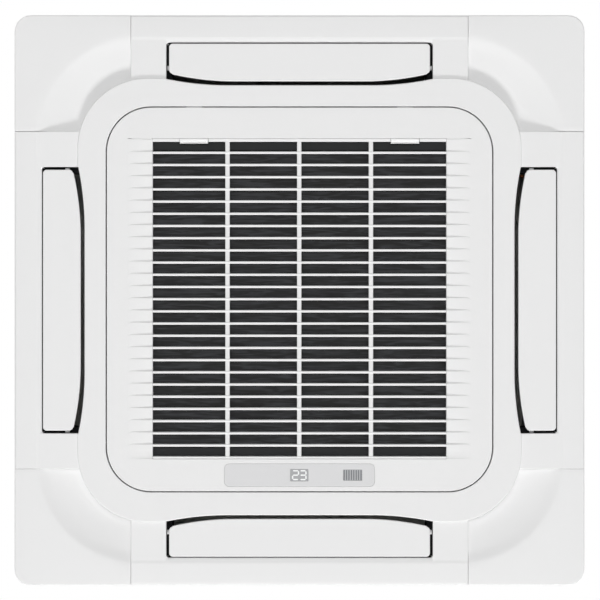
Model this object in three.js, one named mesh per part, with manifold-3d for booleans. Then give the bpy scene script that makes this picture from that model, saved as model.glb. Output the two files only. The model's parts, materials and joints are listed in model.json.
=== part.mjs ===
// Four-way ceiling cassette air conditioner: decoration panel below the ceiling, body above it.
// Millimetres, +Z up as installed. The origin is the panel's centre in the ceiling's lower plane,
// where the panel's rim rests. The display is on the +Y side, the pipes leave on the +X side.
import * as THREE from 'three';
import { mergeVertices } from 'three/addons/utils/BufferGeometryUtils.js';
import Module from 'manifold-3d';

const wasm = await Module();
wasm.setup();

// ---- Driving dimensions ----------------------------------------------------------------------

const gap = 0.3; // between pieces that touch

// Panel frame
const panelHalf = 475; // half of the panel's side
const panelCornerR = 26; // round of the panel's outer corners
const lipHeight = 21; // height of the panel's outer edge
const rimWidth = 12; // rim that rests on the ceiling
const rimThick = 4;
const bandWidth = 37; // bevelled band from the outer edge to the crease
const barDepth = 26; // side bars stand this far below the ceiling
const ringStep = 3; // centre ring stands this far below the side bars
const ringHalf = 369.7; // half of the centre ring's side
const ringCornerR = 117;
const ringEdge = 2; // chamfer along the ring's outer edge
const skin = 3; // wall of the panel's mouldings
const webThick = 3; // plate behind each corner cover
const webHalf = 440; // outer edge of that plate, from the centre
const ledgeBase = 4; // height of the ledge round the intake, above the ceiling plane
const ledgeWidth = 37.9; // ledge above the door, from its wall to the intake
const intakeR = 40;
const collarTop = 14; // duct collars end here, above the ceiling plane

// Corner covers
const coverInner = 281.4; // distance of a cover's seams from the centre lines
const seam = 0.5; // gap along the seams
const dishR = 175; // round of the dish's outer arc, tangent to the crease
const dishSlope = 16; // radial width of the dish's outer slope
const dishFloor = 20; // depth below the ceiling where the slope meets the floor
const dishRoot = 11; // depth below the ceiling at the ring's wall

// Air outlets and vanes
const throatHalf = 222; // half length of an outlet in the panel
const throatOuter = 429.4; // outer wall of the outlet, from the centre line
const throatInner = 357.9; // inner wall at mid length
const throatRise = 10.6; // how much further out the inner wall is at its ends
const throatFlat = 120; // half length of its straight middle
const vaneEndGap = 4.7; // vane to outlet, at each end
const vaneOuterGap = 2;
const vaneInnerGap = 6.6; // at mid length
const vaneRise = 13.1;
const vaneFlat = 108;
const vaneThick = 2.6;
const vaneCornerR = 5;
const axisHeight = 14; // hinge axis above the vane's face
const axisOut = 30.1; // hinge axis from the outlet's inner wall at mid length
const pivotR = 4;
const armThick = 3;
const armInset = 14; // from the vane's end to its arm
const armHub = 2; // arm's half width to the pivot's radius
const ductHalf = 215; // half length of an outlet in the body
const ductInner = 345; // from the centre line
const ductOuter = 398;

// Vane motors
const vaneMotorR = 14;
const vaneMotorLength = 19;
const vaneMotorOffset = 8; // motor centre above its shaft
const earReach = 3.5; // fastening ears beyond the motor
const earHalf = 4;
const terminalHalf = 7;
const terminalRise = 3;

// Intake grille door
const doorHalf = 320.5;
const doorGap = 2.4; // groove round the door
const doorCornerR = 74;
const doorEdge = 1.2; // chamfer along the door's face
const doorPlate = 3;
const doorDepth = 10; // depth of the slats and the rim
const slotCount = 26;
const slotPitch = 20.3;
const slatFace = 5;
const windowHalf = 244.4; // half width of the slotted field
const windowBack = 268.4; // first slat's far edge, from the centre line
const columnCount = 4;
const columnBar = 8.2;
const hingeInset = 20; // hinge axis from the door's front edge
const hingeHeight = 2; // hinge axis above the door's face, within its plate
const hingeAt = 200; // distance of each hinge from the middle
const hingePinR = 1; // wire bail that the door hangs on
const bailSpan = 22; // between the bail's two uprights
const bailHeadR = 1.9;
const bailHead = 1.2;
const knuckleR = 3.4; // door's barrel round the bail
const knuckleWidth = 16;
const bossR = 3.4; // boss of the frame round each upright
const bossDrop = 8; // how far it hangs below the ledge

// Latches
const latchAt = 175; // distance of each latch from the middle
const latchWidth = 49;
const tabDepth = 8.2; // size of the tab along its travel
const latchTravel = 8; // towards the door's middle
const latchThick = 3.4;
const latchBite = latchTravel / 2; // how far the tongue reaches into the frame's wall
const tongueWidth = 40;

// Display
const displayWidth = 250;
const displayHeight = 37.8;
const displayY = 291.1;
const displayR = 8;
const lensThick = 2;
const digitX = -0.4; // centre of the two-digit window
const digitWidth = 30;
const digitHeight = 20;
const receiverX = 88.3;
const receiverWidth = 31.6;
const receiverHeight = 18;
const boardThick = 1.6;
const lensLap = 4; // lens rests on a ledge of this width
const boardInsetX = 8; // housing's room inside the lens outline
const boardInsetY = 5;
const boardBehind = 4; // board behind the lens

// Air filter
const filterHalfX = 262;
const filterHalfY = 262;
const filterDepth = 9;
const filterBorder = 14;
const filterRib = 3;
const filterRibsX = 3;
const filterRibsY = 4;
const netThick = 0.8;

// Body casing
const bodyHalf = 420;
const bodyChamfer = 140; // leg of the body's clipped corners
const bodyBase = 18; // body's lower face above the ceiling plane
const bodyHeight = 246;
const sheet = 1.2;
const sheetJoint = 1.5; // gap where two side panels meet
const flangeWidth = 14;

// Hanger brackets
const boltInsetX = 30; // M10 rods from the body's faces
const boltInsetY = 80;
const bracketThick = 3;
const bracketWidth = 62;
const lugHeight = 110; // hanger lug above the ceiling plane
const lugReach = 46;
const bracketAbove = 40; // plate above the lug
const tabHalf = 14; // half width of the tab for the panel's bolt
const slotWidth = 12;
const slotLength = 30;
const panelBoltAt = 364; // panel bolts from both centre lines
const panelBoltR = 2.6;

// Insulation and drain pan
const linerWall = 15;
const linerRoof = 18;
const panHeight = 50;
const panStep = 1.5; // step that drops the pan past the casing's flange
const troughFloor = 40; // above the ceiling plane
const troughMargin = 7; // beside the heat exchanger
const panLedge = 11; // carries the bell mouth plate
const sumpInner = 225; // corner well for pump and float
const sumpOuter = 356;
const plugR = 7;
const plugInset = 40; // plug from the well's inner walls
const plugHead = 3;
const sumpMargin = 6; // well to liner
const padHalf = 20; // pads that carry the heat exchanger
const plateCornerR = 30; // corners of the bell mouth plate and of the pan's hole
const holeMargin = 4; // pan's hole inside the plate's ledge

// Heat exchanger
const coilInner = 270;
const coilThick = 38;
const coilR = 34; // inner bend
const coilCut = 200; // the ring is open beyond this, in the pipe corner
const coilPad = 5;
const endPlateThick = 1.5;
const endPlateMargin = 4;
const bendCount = 8;
const bendR = 9.5;
const bendTubeR = 3.6;

// Refrigerant pipes
const gasR = 7.94;
const liquidR = 4.76;
const headerR = 9.5;
const gasY = -252;
const gasZ = 150;
const liquidY = -216;
const liquidZ = 112;
const feederR = 1.8;
const distributorR = 11;
const distributorLength = 24;
const pipeReach = 44; // beyond the casing
const nutLength = 18;
const coverPlate = 1.5;
const coverMargin = 22; // pipe cover plate beyond the pipes
const casingMargin = 6; // pipe cover plate laps over the casing's window by this much
const gasJog = 45; // run on which the gas line turns towards the casing
const gasBend = 16;
const liquidRun = 60; // straight run after the distributor
const liquidJog = 55;
const liquidBend = 14;
const distributorAt = 16; // distributor's large end from the header
const distributorAside = 14; // towards the fan from the coil's middle
const feederCount = 4;
const feederPitch = 4;
const nutShape = 1.75; // nut's half width across corners to its pipe's radius
const nutBack = 2; // nut from the pipe's end

// Bell mouth and fan
const mouthHalf = 256; // half of the square plate
const mouthThick = 3;
const mouthBase = 30; // above the ceiling plane
const mouthR = 146; // throat
const mouthFlare = 24;
const mouthTop = 88;
const fanR = 235;
const fanTop = 232;
const fanWall = 3;
const fanEyeR = 155;
const fanEyeZ = 84;
const shroudRise = 30;
const bladeCount = 7;
const bladeThick = 4;
const bladeSweep = -0.75; // radians that a blade leans back
const motorR = 78;
const motorHeight = 68;
const motorGap = 10; // between motor and casing top
const mountR = 11; // three rubber feet between motor and casing top
const mountAt = 62;
const shaftR = 6;
const shaftSocket = 15; // shaft's seat in the motor
const hubR = 16;
const hubBase = 148;
const eyeRise = 8; // straight collar at the wheel's eye
const shroudTurn = 14; // radial width of the bend after it
const eyeLap = 12; // blades start inside the eye by this much
const motorClear = 10; // wheel's dish to motor
const motorEdge = 20; // slope at the motor's lower edge
const nutHeight = 8;
const threadOut = 4; // shaft beyond the nut

// Drainage
const pumpX = 308;
const pumpY = -312;
const pumpR = 28;
const pumpHeight = 70;
const pumpNeck = 10; // intake and top are narrower than the middle by about this
const nippleRise = 28; // outlet above the trough's floor
const nippleLength = 10;
const floatX = 340;
const floatY = -256;
const floatR = 13;
const floatTravel = 12;
const floatHeight = 18;
const floatFoot = 4; // foot of the stem below the float
const stemR = 3;
const stemHead = 6;
const spoutX = 244;
const spoutZ = 205;
const spoutR = 16;
const spoutWall = 3;
const spoutReach = 34;
const hoseR = 12.6;
const hoseWall = 3;
const hoseBend = 20;
const spoutFlange = 8;

// Control box
const boxWide = 240;
const boxDeep = 62;
const boxAt = 212; // centre of the box from the middle, towards -X
const boxDrop = 32; // how far it hangs below the bell mouth plate
const boxSheet = 1.2;
const lidRim = 6;
const postHeight = 8; // posts that carry the main board
const postR = 3;
const boardMargin = 4; // board to box wall

// Casing fittings
const glandY = 150;
const glandZ = 120;
const glandR = 11;
const glandBore = 7;
const glandFlange = 5;
const freshR = 50;
const freshZ = 150;
const freshPlate = 140;
const freshLap = 4; // raised disc inside the hole's edge
const freshStep = 1.5;

// ---- Derived levels and sizes ----------------------------------------------------------------

const barFace = -barDepth;
const ringFace = barFace - ringStep;
const doorOpening = doorHalf + doorGap;
const intakeHalf = doorOpening - ledgeWidth;
const doorBack = ringFace + doorDepth;
const hingeY = doorHalf - hingeInset;
const hingeZ = ringFace + hingeHeight;
const axisV = throatInner + axisOut;
const axisZ = barFace + axisHeight;
const bodyTop = bodyBase + bodyHeight;
const boltPitchX = 2 * (bodyHalf - boltInsetX);
const boltPitchY = 2 * (bodyHalf - boltInsetY);
const windowFront = windowBack - slotCount * slotPitch - slatFace; // far edge of the last slat
const coilOuter = coilInner + coilThick;
const panTop = bodyBase + panHeight;
const roofLow = bodyTop - sheet - gap - linerRoof;
const creaseSlope = (barDepth - lipHeight) / bandWidth;
const filterBase = doorBack + gap;
const quarter = Math.PI / 2;
const far = 2 * panelHalf; // longer than any piece
const overlap = 0.5; // parts of one moulding run into each other by this much

// ---- Shapes and solids -----------------------------------------------------------------------

function roundedRect(halfX, halfY, r, x = 0, y = 0) {
  const shape = new THREE.Shape();
  shape.moveTo(x - halfX + r, y - halfY);
  shape.lineTo(x + halfX - r, y - halfY);
  shape.absarc(x + halfX - r, y - halfY + r, r, -quarter, 0);
  shape.lineTo(x + halfX, y + halfY - r);
  shape.absarc(x + halfX - r, y + halfY - r, r, 0, quarter);
  shape.lineTo(x - halfX + r, y + halfY);
  shape.absarc(x - halfX + r, y + halfY - r, r, quarter, 2 * quarter);
  shape.lineTo(x - halfX, y - halfY + r);
  shape.absarc(x - halfX + r, y - halfY + r, r, 2 * quarter, 3 * quarter);
  return shape;
}

function roundedSquare(half, r) {
  return roundedRect(half, half, r);
}

function polygon(points) {
  return new THREE.Shape(points.map(([x, y]) => new THREE.Vector2(x, y)));
}

function octagon(half, clip) {
  const c = half - clip;
  return polygon([
    [half, c], [c, half], [-c, half], [-half, c],
    [-half, -c], [-c, -half], [c, -half], [half, -c],
  ]);
}

// Octagon parallel to the casing, the given distance inside it.
function bodyOutline(inset) {
  const clip = bodyChamfer - 2 * inset + Math.SQRT2 * inset;
  return octagon(bodyHalf - inset, clip);
}

// Solid from a geometry: shared vertices merged, faces turned outwards.
function solid(geometry) {
  const bare = geometry.clone();
  bare.deleteAttribute('normal');
  bare.deleteAttribute('uv');
  const merged = mergeVertices(bare, 1e-4);
  const position = merged.attributes.position;
  const index = merged.index.array;
  const a = new THREE.Vector3();
  const b = new THREE.Vector3();
  const c = new THREE.Vector3();
  const triangles = [];
  let volume = 0;
  for (let i = 0; i < index.length; i += 3) {
    const [i0, i1, i2] = [index[i], index[i + 1], index[i + 2]];
    if (i0 === i1 || i1 === i2 || i2 === i0) continue;
    a.fromBufferAttribute(position, i0);
    b.fromBufferAttribute(position, i1);
    c.fromBufferAttribute(position, i2);
    volume += a.dot(b.cross(c));
    triangles.push(i0, i1, i2);
  }
  if (volume < 0) {
    triangles.reverse();
  }
  const vertProperties = new Float32Array(position.array);
  const triVerts = new Uint32Array(triangles);
  return new wasm.Manifold(new wasm.Mesh({ numProp: 3, vertProperties, triVerts }));
}

function geometryOf(body) {
  const mesh = body.getMesh();
  const geometry = new THREE.BufferGeometry();
  geometry.setAttribute('position', new THREE.BufferAttribute(mesh.vertProperties, 3));
  geometry.setIndex(new THREE.BufferAttribute(mesh.triVerts, 1));
  geometry.computeVertexNormals();
  return geometry;
}

function join(first, ...others) {
  return others.reduce((body, other) => body.add(other), first);
}

function cut(body, ...tools) {
  return tools.reduce((rest, tool) => rest.subtract(tool), body);
}

function slab(shape, low, high, arcSteps = 3) {
  const geometry = new THREE.ExtrudeGeometry(shape, {
    depth: high - low,
    bevelEnabled: false,
    curveSegments: arcSteps,
  });
  return solid(geometry.translate(0, 0, low));
}

function block([x0, x1], [y0, y1], [z0, z1]) {
  const geometry = new THREE.BoxGeometry(x1 - x0, y1 - y0, z1 - z0);
  return solid(geometry.translate((x0 + x1) / 2, (y0 + y1) / 2, (z0 + z1) / 2));
}

// Round bar between two heights, or along X or Y when a direction is given.
function bar(r, from, to, [x, y, z], direction = 'z', sides = 12) {
  const geometry = new THREE.CylinderGeometry(r, r, to - from, sides);
  geometry.translate(0, (from + to) / 2, 0);
  if (direction === 'z') geometry.rotateX(quarter);
  if (direction === 'x') geometry.rotateZ(-quarter);
  return solid(geometry.translate(x, y, z));
}

// Body of revolution about Z through (x, y); the profile is a list of [radius, height].
function turned(profile, sides = 36, x = 0, y = 0) {
  const points = profile.map(([r, z]) => new THREE.Vector2(r, z));
  const geometry = new THREE.LatheGeometry(points, sides);
  geometry.rotateX(quarter);
  return solid(geometry.translate(x, y, 0));
}

// Loops of rounded squares from top to bottom, joined into one closed body.
function lofted(loops, arcSteps = 6) {
  const positions = [];
  for (const { half, r, z } of loops) {
    for (let corner = 0; corner < 4; corner += 1) {
      for (let step = 0; step <= arcSteps; step += 1) {
        const angle = quarter * (corner + step / arcSteps);
        const turn = quarter * (corner + 0.5);
        const x = (half - r) * Math.SQRT2 * Math.cos(turn) + r * Math.cos(angle);
        const y = (half - r) * Math.SQRT2 * Math.sin(turn) + r * Math.sin(angle);
        positions.push(x, y, z);
      }
    }
  }
  const count = 4 * (arcSteps + 1);
  const index = [];
  for (let level = 0; level + 1 < loops.length; level += 1) {
    for (let i = 0; i < count; i += 1) {
      const a = level * count + i;
      const b = level * count + ((i + 1) % count);
      index.push(a, a + count, b, b, a + count, b + count);
    }
  }
  const last = (loops.length - 1) * count;
  for (let i = 1; i + 1 < count; i += 1) {
    index.push(0, i, i + 1);
    index.push(last, last + i + 1, last + i);
  }
  const geometry = new THREE.BufferGeometry();
  geometry.setAttribute('position', new THREE.Float32BufferAttribute(positions, 3));
  geometry.setIndex(index);
  return solid(geometry);
}

// Pipe of straight runs with rounded bends through the given points.
function pipe(points, r, bend, sides = 8, steps = 16) {
  const corners = points.map((point) => new THREE.Vector3(...point));
  const path = new THREE.CurvePath();
  let start = corners[0];
  for (let i = 1; i + 1 < corners.length; i += 1) {
    const before = corners[i].clone().add(corners[i - 1].clone().sub(corners[i]).setLength(bend));
    const after = corners[i].clone().add(corners[i + 1].clone().sub(corners[i]).setLength(bend));
    path.add(new THREE.LineCurve3(start, before));
    path.add(new THREE.QuadraticBezierCurve3(before, corners[i], after));
    start = after;
  }
  path.add(new THREE.LineCurve3(start, corners[corners.length - 1]));
  const ring = [];
  for (let i = 0; i < sides; i += 1) {
    ring.push([r * Math.cos((2 * Math.PI * i) / sides), r * Math.sin((2 * Math.PI * i) / sides)]);
  }
  return solid(new THREE.ExtrudeGeometry(polygon(ring), { steps, extrudePath: path }));
}

// A body made for the +Y side, repeated on all four sides and joined.
function onAllSides(body) {
  return join(...[0, 90, 180, 270].map((degrees) => body.rotate([0, 0, degrees])));
}

// ---- Materials and scene ---------------------------------------------------------------------

function material(color, roughness, metalness = 0) {
  return new THREE.MeshStandardMaterial({ color, roughness, metalness });
}

const whitePlastic = material(0xe9e9e9, 0.42);
const whiteGloss = material(0xdededf, 0.25);
const greyPlastic = material(0x8c8f92, 0.5);
const blackPlastic = material(0x222426, 0.6);
const foam = material(0xf1f1ee, 0.85);
const darkFoam = material(0x3a3c3f, 0.9);
const galvanised = material(0xb9bdc0, 0.4, 0.9);
const aluminium = material(0xc9ccd0, 0.35, 1);
const copper = material(0xb87345, 0.35, 1);
const brass = material(0xb99a50, 0.35, 1);
const rubber = material(0x1d1e20, 0.8);
const boardGreen = material(0x2f6a45, 0.55);
const netGrey = material(0x2b2d30, 0.7);
const windowGrey = material(0x9a9c9e, 0.3);

const cassette = new THREE.Group();

function place(name, body, finish, turn = 0) {
  const geometry = body.isBufferGeometry ? body : geometryOf(body);
  const mesh = new THREE.Mesh(geometry, finish);
  mesh.name = name;
  mesh.rotation.z = turn;
  cassette.add(mesh);
}

const sides = ['front', 'left', 'back', 'right']; // +Y, -X, -Y, +X
const corners = ['front_right', 'front_left', 'back_left', 'back_right'];

// ---- Panel frame -----------------------------------------------------------------------------

// Outline of an air outlet or a vane on the +Y side: straight outer edge, bowed inner edge.
function bowedStrip(half, outer, inner, rise, flat, r) {
  const shape = new THREE.Shape();
  const bow = (x) => inner + rise * (Math.max(0, Math.abs(x) - flat) / (half - flat)) ** 2;
  const steps = 4;
  shape.moveTo(-half, bow(half));
  for (let i = 1; i <= steps; i += 1) {
    const x = -half + (i * (half - flat)) / steps;
    shape.lineTo(x, bow(x));
  }
  for (let i = 0; i <= steps; i += 1) {
    const x = flat + (i * (half - flat)) / steps;
    shape.lineTo(x, bow(x));
  }
  shape.lineTo(half, outer - r);
  shape.absarc(half - r, outer - r, r, 0, quarter);
  shape.lineTo(-half + r, outer);
  shape.absarc(-half + r, outer - r, r, quarter, 2 * quarter);
  return shape;
}

function throat(grow, low, high) {
  const shape = bowedStrip(
    throatHalf + grow, throatOuter + grow, throatInner - grow,
    throatRise, throatFlat, vaneCornerR + grow,
  );
  return slab(shape, low, high, 1);
}

// Outside of the bevelled tray that bars and corner covers share, or its hollow.
function trayOutside(top) {
  return lofted([
    { half: panelHalf, r: panelCornerR, z: top },
    { half: panelHalf, r: panelCornerR, z: -lipHeight },
    { half: panelHalf - bandWidth, r: dishR, z: barFace },
  ]);
}

function trayHollow(top) {
  const rise = skin * Math.hypot(1, creaseSlope);
  const inset = skin;
  const run = (barDepth - skin - lipHeight + rise) / creaseSlope;
  return lofted([
    { half: panelHalf - inset, r: panelCornerR - inset, z: top },
    { half: panelHalf - inset, r: panelCornerR - inset, z: -lipHeight - inset * creaseSlope + rise },
    { half: panelHalf - run, r: dishR - inset, z: barFace + skin },
  ]);
}

function ringSlab(grow, low, high) {
  return slab(roundedSquare(ringHalf + grow, ringCornerR + grow), low, high);
}

function panelFrame() {
  const barHalf = coverInner - seam;
  const crossOf = (half) => join(
    block([-half, half], [-far, far], [-far, far]),
    block([-far, far], [-half, half], [-far, far]),
  );
  const cross = crossOf(barHalf);
  const rim = cut(
    slab(roundedSquare(panelHalf, panelCornerR), -rimThick, 0),
    slab(roundedSquare(panelHalf - rimWidth, panelCornerR - rimWidth), -far, far),
  );
  const tray = join(cut(trayOutside(0), trayHollow(far)), rim);
  const endWall = block([-barHalf, -barHalf + skin], [0, far], [-far, far]);
  const endWalls = trayOutside(0).intersect(
    onAllSides(join(endWall, endWall.mirror([1, 0, 0]))),
  );
  const insideRing = ringSlab(-skin, -far, far);
  const bars = cut(join(tray.intersect(cross), endWalls.intersect(cross)), insideRing);

  const ringOutside = lofted([
    { half: ringHalf, r: ringCornerR, z: 0 },
    { half: ringHalf, r: ringCornerR, z: ringFace + ringEdge },
    { half: ringHalf - ringEdge, r: ringCornerR - ringEdge, z: ringFace },
  ]);
  const ring = cut(ringOutside, ringSlab(-skin, ringFace + skin, far));
  const webPlate = slab(roundedSquare(webHalf, skin), -webThick, 0);
  const web = cut(webPlate, crossOf(barHalf - skin), insideRing);

  const doorR = doorCornerR + doorGap;
  const doorWall = slab(roundedSquare(doorOpening + skin, doorR + skin), ringFace, ledgeBase + skin);
  const doorCut = slab(roundedSquare(doorOpening, doorR), -far, ledgeBase);
  const ledgeCollar = slab(roundedSquare(intakeHalf + skin, intakeR + skin), ledgeBase, collarTop);
  const intake = slab(roundedSquare(intakeHalf, intakeR), -far, far);

  const throatWalls = throat(skin, barFace, 0);
  const ringSideWalls = throat(skin, ringFace, 0).intersect(ringSlab(0, -far, far));
  const ductRect = (grow) => polygon([
    [-ductHalf - grow, ductInner - grow],
    [ductHalf + grow, ductInner - grow],
    [ductHalf + grow, ductOuter + grow],
    [-ductHalf - grow, ductOuter + grow],
  ]);
  const transition = join(throat(skin, -skin, 0), slab(ductRect(skin), -skin, collarTop));
  const outlet = join(throatWalls, ringSideWalls, transition);
  const outletCut = join(throat(0, -far, -skin), slab(ductRect(0), -skin - overlap, far));
  const pivotReach = throatHalf + 2 * skin;
  const pivotHoles = bar(pivotR + 2 * gap, -pivotReach, pivotReach, [0, axisV, axisZ], 'x');

  let frame = join(bars, ring, web, doorWall);
  frame = cut(frame, doorCut);
  frame = join(frame, ledgeCollar, onAllSides(outlet));
  frame = cut(frame, intake, onAllSides(join(outletCut, pivotHoles)));
  frame = join(frame, ...[-hingeAt, hingeAt].flatMap((x) => bailBosses(x)));
  frame = cut(frame, ...[-hingeAt, hingeAt].flatMap((x) => bailHoles(x)));
  frame = cut(frame, ...[-latchAt, latchAt].map((x) => latchKeeper(x)));
  const boltHole = bar(panelBoltR + 2 * gap, -far, far, [panelBoltAt, panelBoltAt, 0]);
  return cut(frame, onAllSides(boltHole));
}

// Bosses below the ledge, bored for the uprights of a hinge's bail.
function bailBosses(x) {
  return uprights(x).map((at) => bar(bossR, ledgeBase - bossDrop, ledgeBase + overlap, [at, hingeY, 0], 'z', 16));
}

function bailHoles(x) {
  return uprights(x).map((at) => bar(hingePinR + gap, ledgeBase - far, far, [at, hingeY, 0]));
}

function uprights(x) {
  return [x - bailSpan / 2, x + bailSpan / 2];
}

// Slot in the wall round the door, where a latch's tongue reaches in.
function latchKeeper(x) {
  const half = tongueWidth / 2 + 2 * gap;
  const low = ringFace + doorPlate;
  return block(
    [x - half, x + half],
    [-doorOpening - skin - latchBite, -doorOpening + skin],
    [low, low + latchThick + 3 * gap],
  );
}

place('panel_frame', panelFrame(), whitePlastic);

// ---- Corner covers ---------------------------------------------------------------------------

// Everything below the dish's surface, or that grown by the wall's thickness.
function dishTool(grow) {
  const centre = panelHalf - bandWidth - dishR;
  const low = -2 * barDepth;
  return turned([
    [0, low],
    [dishR + grow, low],
    [dishR + grow, barFace + grow / 2],
    [dishR + grow - dishSlope, -dishFloor + grow],
    [ringCornerR, -dishRoot + grow],
    [0, -dishRoot + grow],
    [0, low],
  ], 40, centre, centre);
}

function cornerCover() {
  const region = (inset, outset) => block(
    [coverInner + inset, panelHalf + outset], [coverInner + inset, panelHalf + outset], [-far, far],
  );
  const web = block([0, webHalf + gap], [0, webHalf + gap], [-webThick - gap, far]);
  const outside = trayOutside(0).intersect(region(0, 1));
  const hollow = trayHollow(far).intersect(region(skin, 1));
  return cut(
    cut(outside, ringSlab(seam, -far, far), dishTool(0), web),
    cut(hollow, ringSlab(seam + skin, -far, far), dishTool(skin)),
  );
}

const coverGeometry = geometryOf(cornerCover());
corners.forEach((corner, i) => place(`corner_cover_${corner}`, coverGeometry, whitePlastic, i * quarter));

// ---- Vanes and their motors ------------------------------------------------------------------

const vaneHalf = throatHalf - vaneEndGap;

function vane() {
  const outline = bowedStrip(
    vaneHalf, throatOuter - vaneOuterGap, throatInner + vaneInnerGap,
    vaneRise, vaneFlat, vaneCornerR,
  );
  const plate = slab(outline, barFace, barFace + vaneThick, 2);
  const armX = vaneHalf - armInset;
  const hub = armHub * pivotR;
  const armLow = barFace + vaneThick - overlap;
  const arms = [-armX - armThick, armX].map((x) => join(
    block([x, x + armThick], [axisV - hub, axisV + hub], [armLow, axisZ]),
    bar(hub, x, x + armThick, [0, axisV, axisZ], 'x'),
  ));
  const stubEnd = throatHalf + skin;
  const stubs = [
    bar(pivotR, armX, stubEnd, [0, axisV, axisZ], 'x'),
    bar(pivotR, -stubEnd, -armX, [0, axisV, axisZ], 'x'),
  ];
  return join(plate, ...arms, ...stubs);
}

// Geared stepper motor, its body set above its shaft, fastened by two ears.
function vaneMotor() {
  const from = throatHalf + skin + gap;
  const z = axisZ + vaneMotorOffset;
  const ear = vaneMotorR + earReach;
  const inset = vaneMotorLength / 5;
  return join(
    bar(vaneMotorR, from, from + vaneMotorLength, [0, axisV, z], 'x', 20),
    block([from, from + 1], [axisV - ear, axisV + ear], [z - earHalf, z + earHalf]),
    block(
      [from + inset, from + vaneMotorLength - inset],
      [axisV - terminalHalf, axisV + terminalHalf],
      [z, z + vaneMotorR + terminalRise],
    ),
  );
}

const vaneGeometry = geometryOf(vane());
const vaneMotorGeometry = geometryOf(vaneMotor());
sides.forEach((side, i) => place(`vane_${side}`, vaneGeometry, whitePlastic, i * quarter));
sides.forEach((side, i) => place(`vane_motor_${side}`, vaneMotorGeometry, greyPlastic, i * quarter));

// ---- Intake grille door ----------------------------------------------------------------------

// Deep field with its rows and columns of slots, and a border that runs into the plate.
function slatGrid() {
  const column = (2 * windowHalf - (columnCount - 1) * columnBar) / columnCount;
  const field = block(
    [-windowHalf - skin, windowHalf + skin],
    [-windowBack - skin, -windowFront + skin],
    [ringFace, doorBack],
  );
  const slots = [];
  for (let row = 0; row < slotCount; row += 1) {
    const y = -windowBack + row * slotPitch + slatFace;
    for (let i = 0; i < columnCount; i += 1) {
      const x = -windowHalf + i * (column + columnBar);
      slots.push(block([x, x + column], [y, y + slotPitch - slatFace], [-far, far]));
    }
  }
  return cut(field, join(...slots));
}

function intakeGrille() {
  const plateIn = ringFace + doorPlate - overlap;
  const plate = lofted([
    { half: doorHalf, r: doorCornerR, z: ringFace + doorPlate },
    { half: doorHalf, r: doorCornerR, z: ringFace + doorEdge },
    { half: doorHalf - doorEdge, r: doorCornerR - doorEdge, z: ringFace },
  ]);
  const rim = cut(
    slab(roundedSquare(doorHalf, doorCornerR), plateIn, doorBack),
    slab(roundedSquare(doorHalf - skin, doorCornerR - skin), -far, far),
  );
  const field = block([-windowHalf, windowHalf], [-windowBack, -windowFront], [-far, far]);
  const grid = slatGrid();
  const lens = displayCut(gap, ringFace - 1, ringFace + lensThick + gap);
  const behindLens = displayCut(-lensLap, -far, far);
  let door = join(cut(join(plate, rim), field, lens, behindLens), grid);

  const bailBore = hingePinR + gap;
  for (const x of [-hingeAt, hingeAt]) {
    const knuckle = bar(knuckleR, x - knuckleWidth / 2, x + knuckleWidth / 2, [0, hingeY, hingeZ], 'x', 20);
    const bore = bar(bailBore, x - bailSpan / 2, x + bailSpan / 2, [0, hingeY, hingeZ], 'x');
    // an upright swings through its groove from the plate's back to its edge
    const wide = bailBore + gap / 2;
    const grooves = uprights(x).map((at) => block(
      [at - wide, at + wide], [hingeY - wide, doorHalf + skin], [hingeZ - wide, far],
    ));
    const barrel = knuckle.intersect(block([-far, far], [0, far], [ringFace + doorEdge, far]));
    door = cut(join(door, barrel), bore, ...grooves);
  }
  for (const x of [-latchAt, latchAt]) {
    const half = latchWidth / 2 + gap;
    const notch = block(
      [x - half, x + half], [-windowBack - gap, -windowBack + slatFace + gap], [-far, far],
    );
    const railIn = tongueWidth / 2 + gap;
    const rail = (from) => block(
      [from, from + skin], [-doorHalf + skin, -windowBack - 2 * gap], [plateIn, doorBack],
    );
    const passage = block(
      [x - railIn, x + railIn], [-doorHalf - skin, -windowBack + slatFace], [ringFace + doorPlate, far],
    );
    door = join(cut(door, notch, passage), rail(x + railIn), rail(x - railIn - skin));
  }
  return door;
}

function displayCut(grow, low, high) {
  const halfX = displayWidth / 2 + grow;
  const halfY = displayHeight / 2 + grow;
  return slab(roundedRect(halfX, halfY, displayR + grow, 0, displayY), low, high);
}

place('intake_grille', intakeGrille(), whitePlastic);

// Steel bail: a crossbar in the door's barrel and two uprights headed above the ledge.
for (const [name, x] of [['hinge_pin_left', -hingeAt], ['hinge_pin_right', hingeAt]]) {
  const reach = bailSpan / 2 + hingePinR;
  const headLow = ledgeBase + skin + gap;
  const bail = join(
    bar(hingePinR, x - reach, x + reach, [0, hingeY, hingeZ], 'x'),
    ...uprights(x).flatMap((at) => [
      bar(hingePinR, hingeZ, headLow + bailHead, [at, hingeY, 0]),
      bar(bailHeadR, headLow, headLow + bailHead, [at, hingeY, 0]),
    ]),
  );
  place(name, bail, galvanised);
}

// ---- Latches ---------------------------------------------------------------------------------

// Finger tab in the first slat, a slide behind the plate and a tongue into the frame's wall.
function latch() {
  const low = ringFace + doorPlate + gap;
  const tabFar = -windowBack;
  const tabNear = tabFar + tabDepth;
  const tongueEnd = -doorOpening - latchBite;
  return join(
    block([-latchWidth / 2, latchWidth / 2], [tabFar, tabNear], [ringFace, low + latchThick]),
    block([-tongueWidth / 2, tongueWidth / 2], [tongueEnd, tabNear], [low, low + latchThick]),
  );
}

for (const [name, x] of [['latch_left', -latchAt], ['latch_right', latchAt]]) {
  place(name, latch().translate([x, 0, 0]), whitePlastic);
}

// ---- Display ---------------------------------------------------------------------------------

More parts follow.
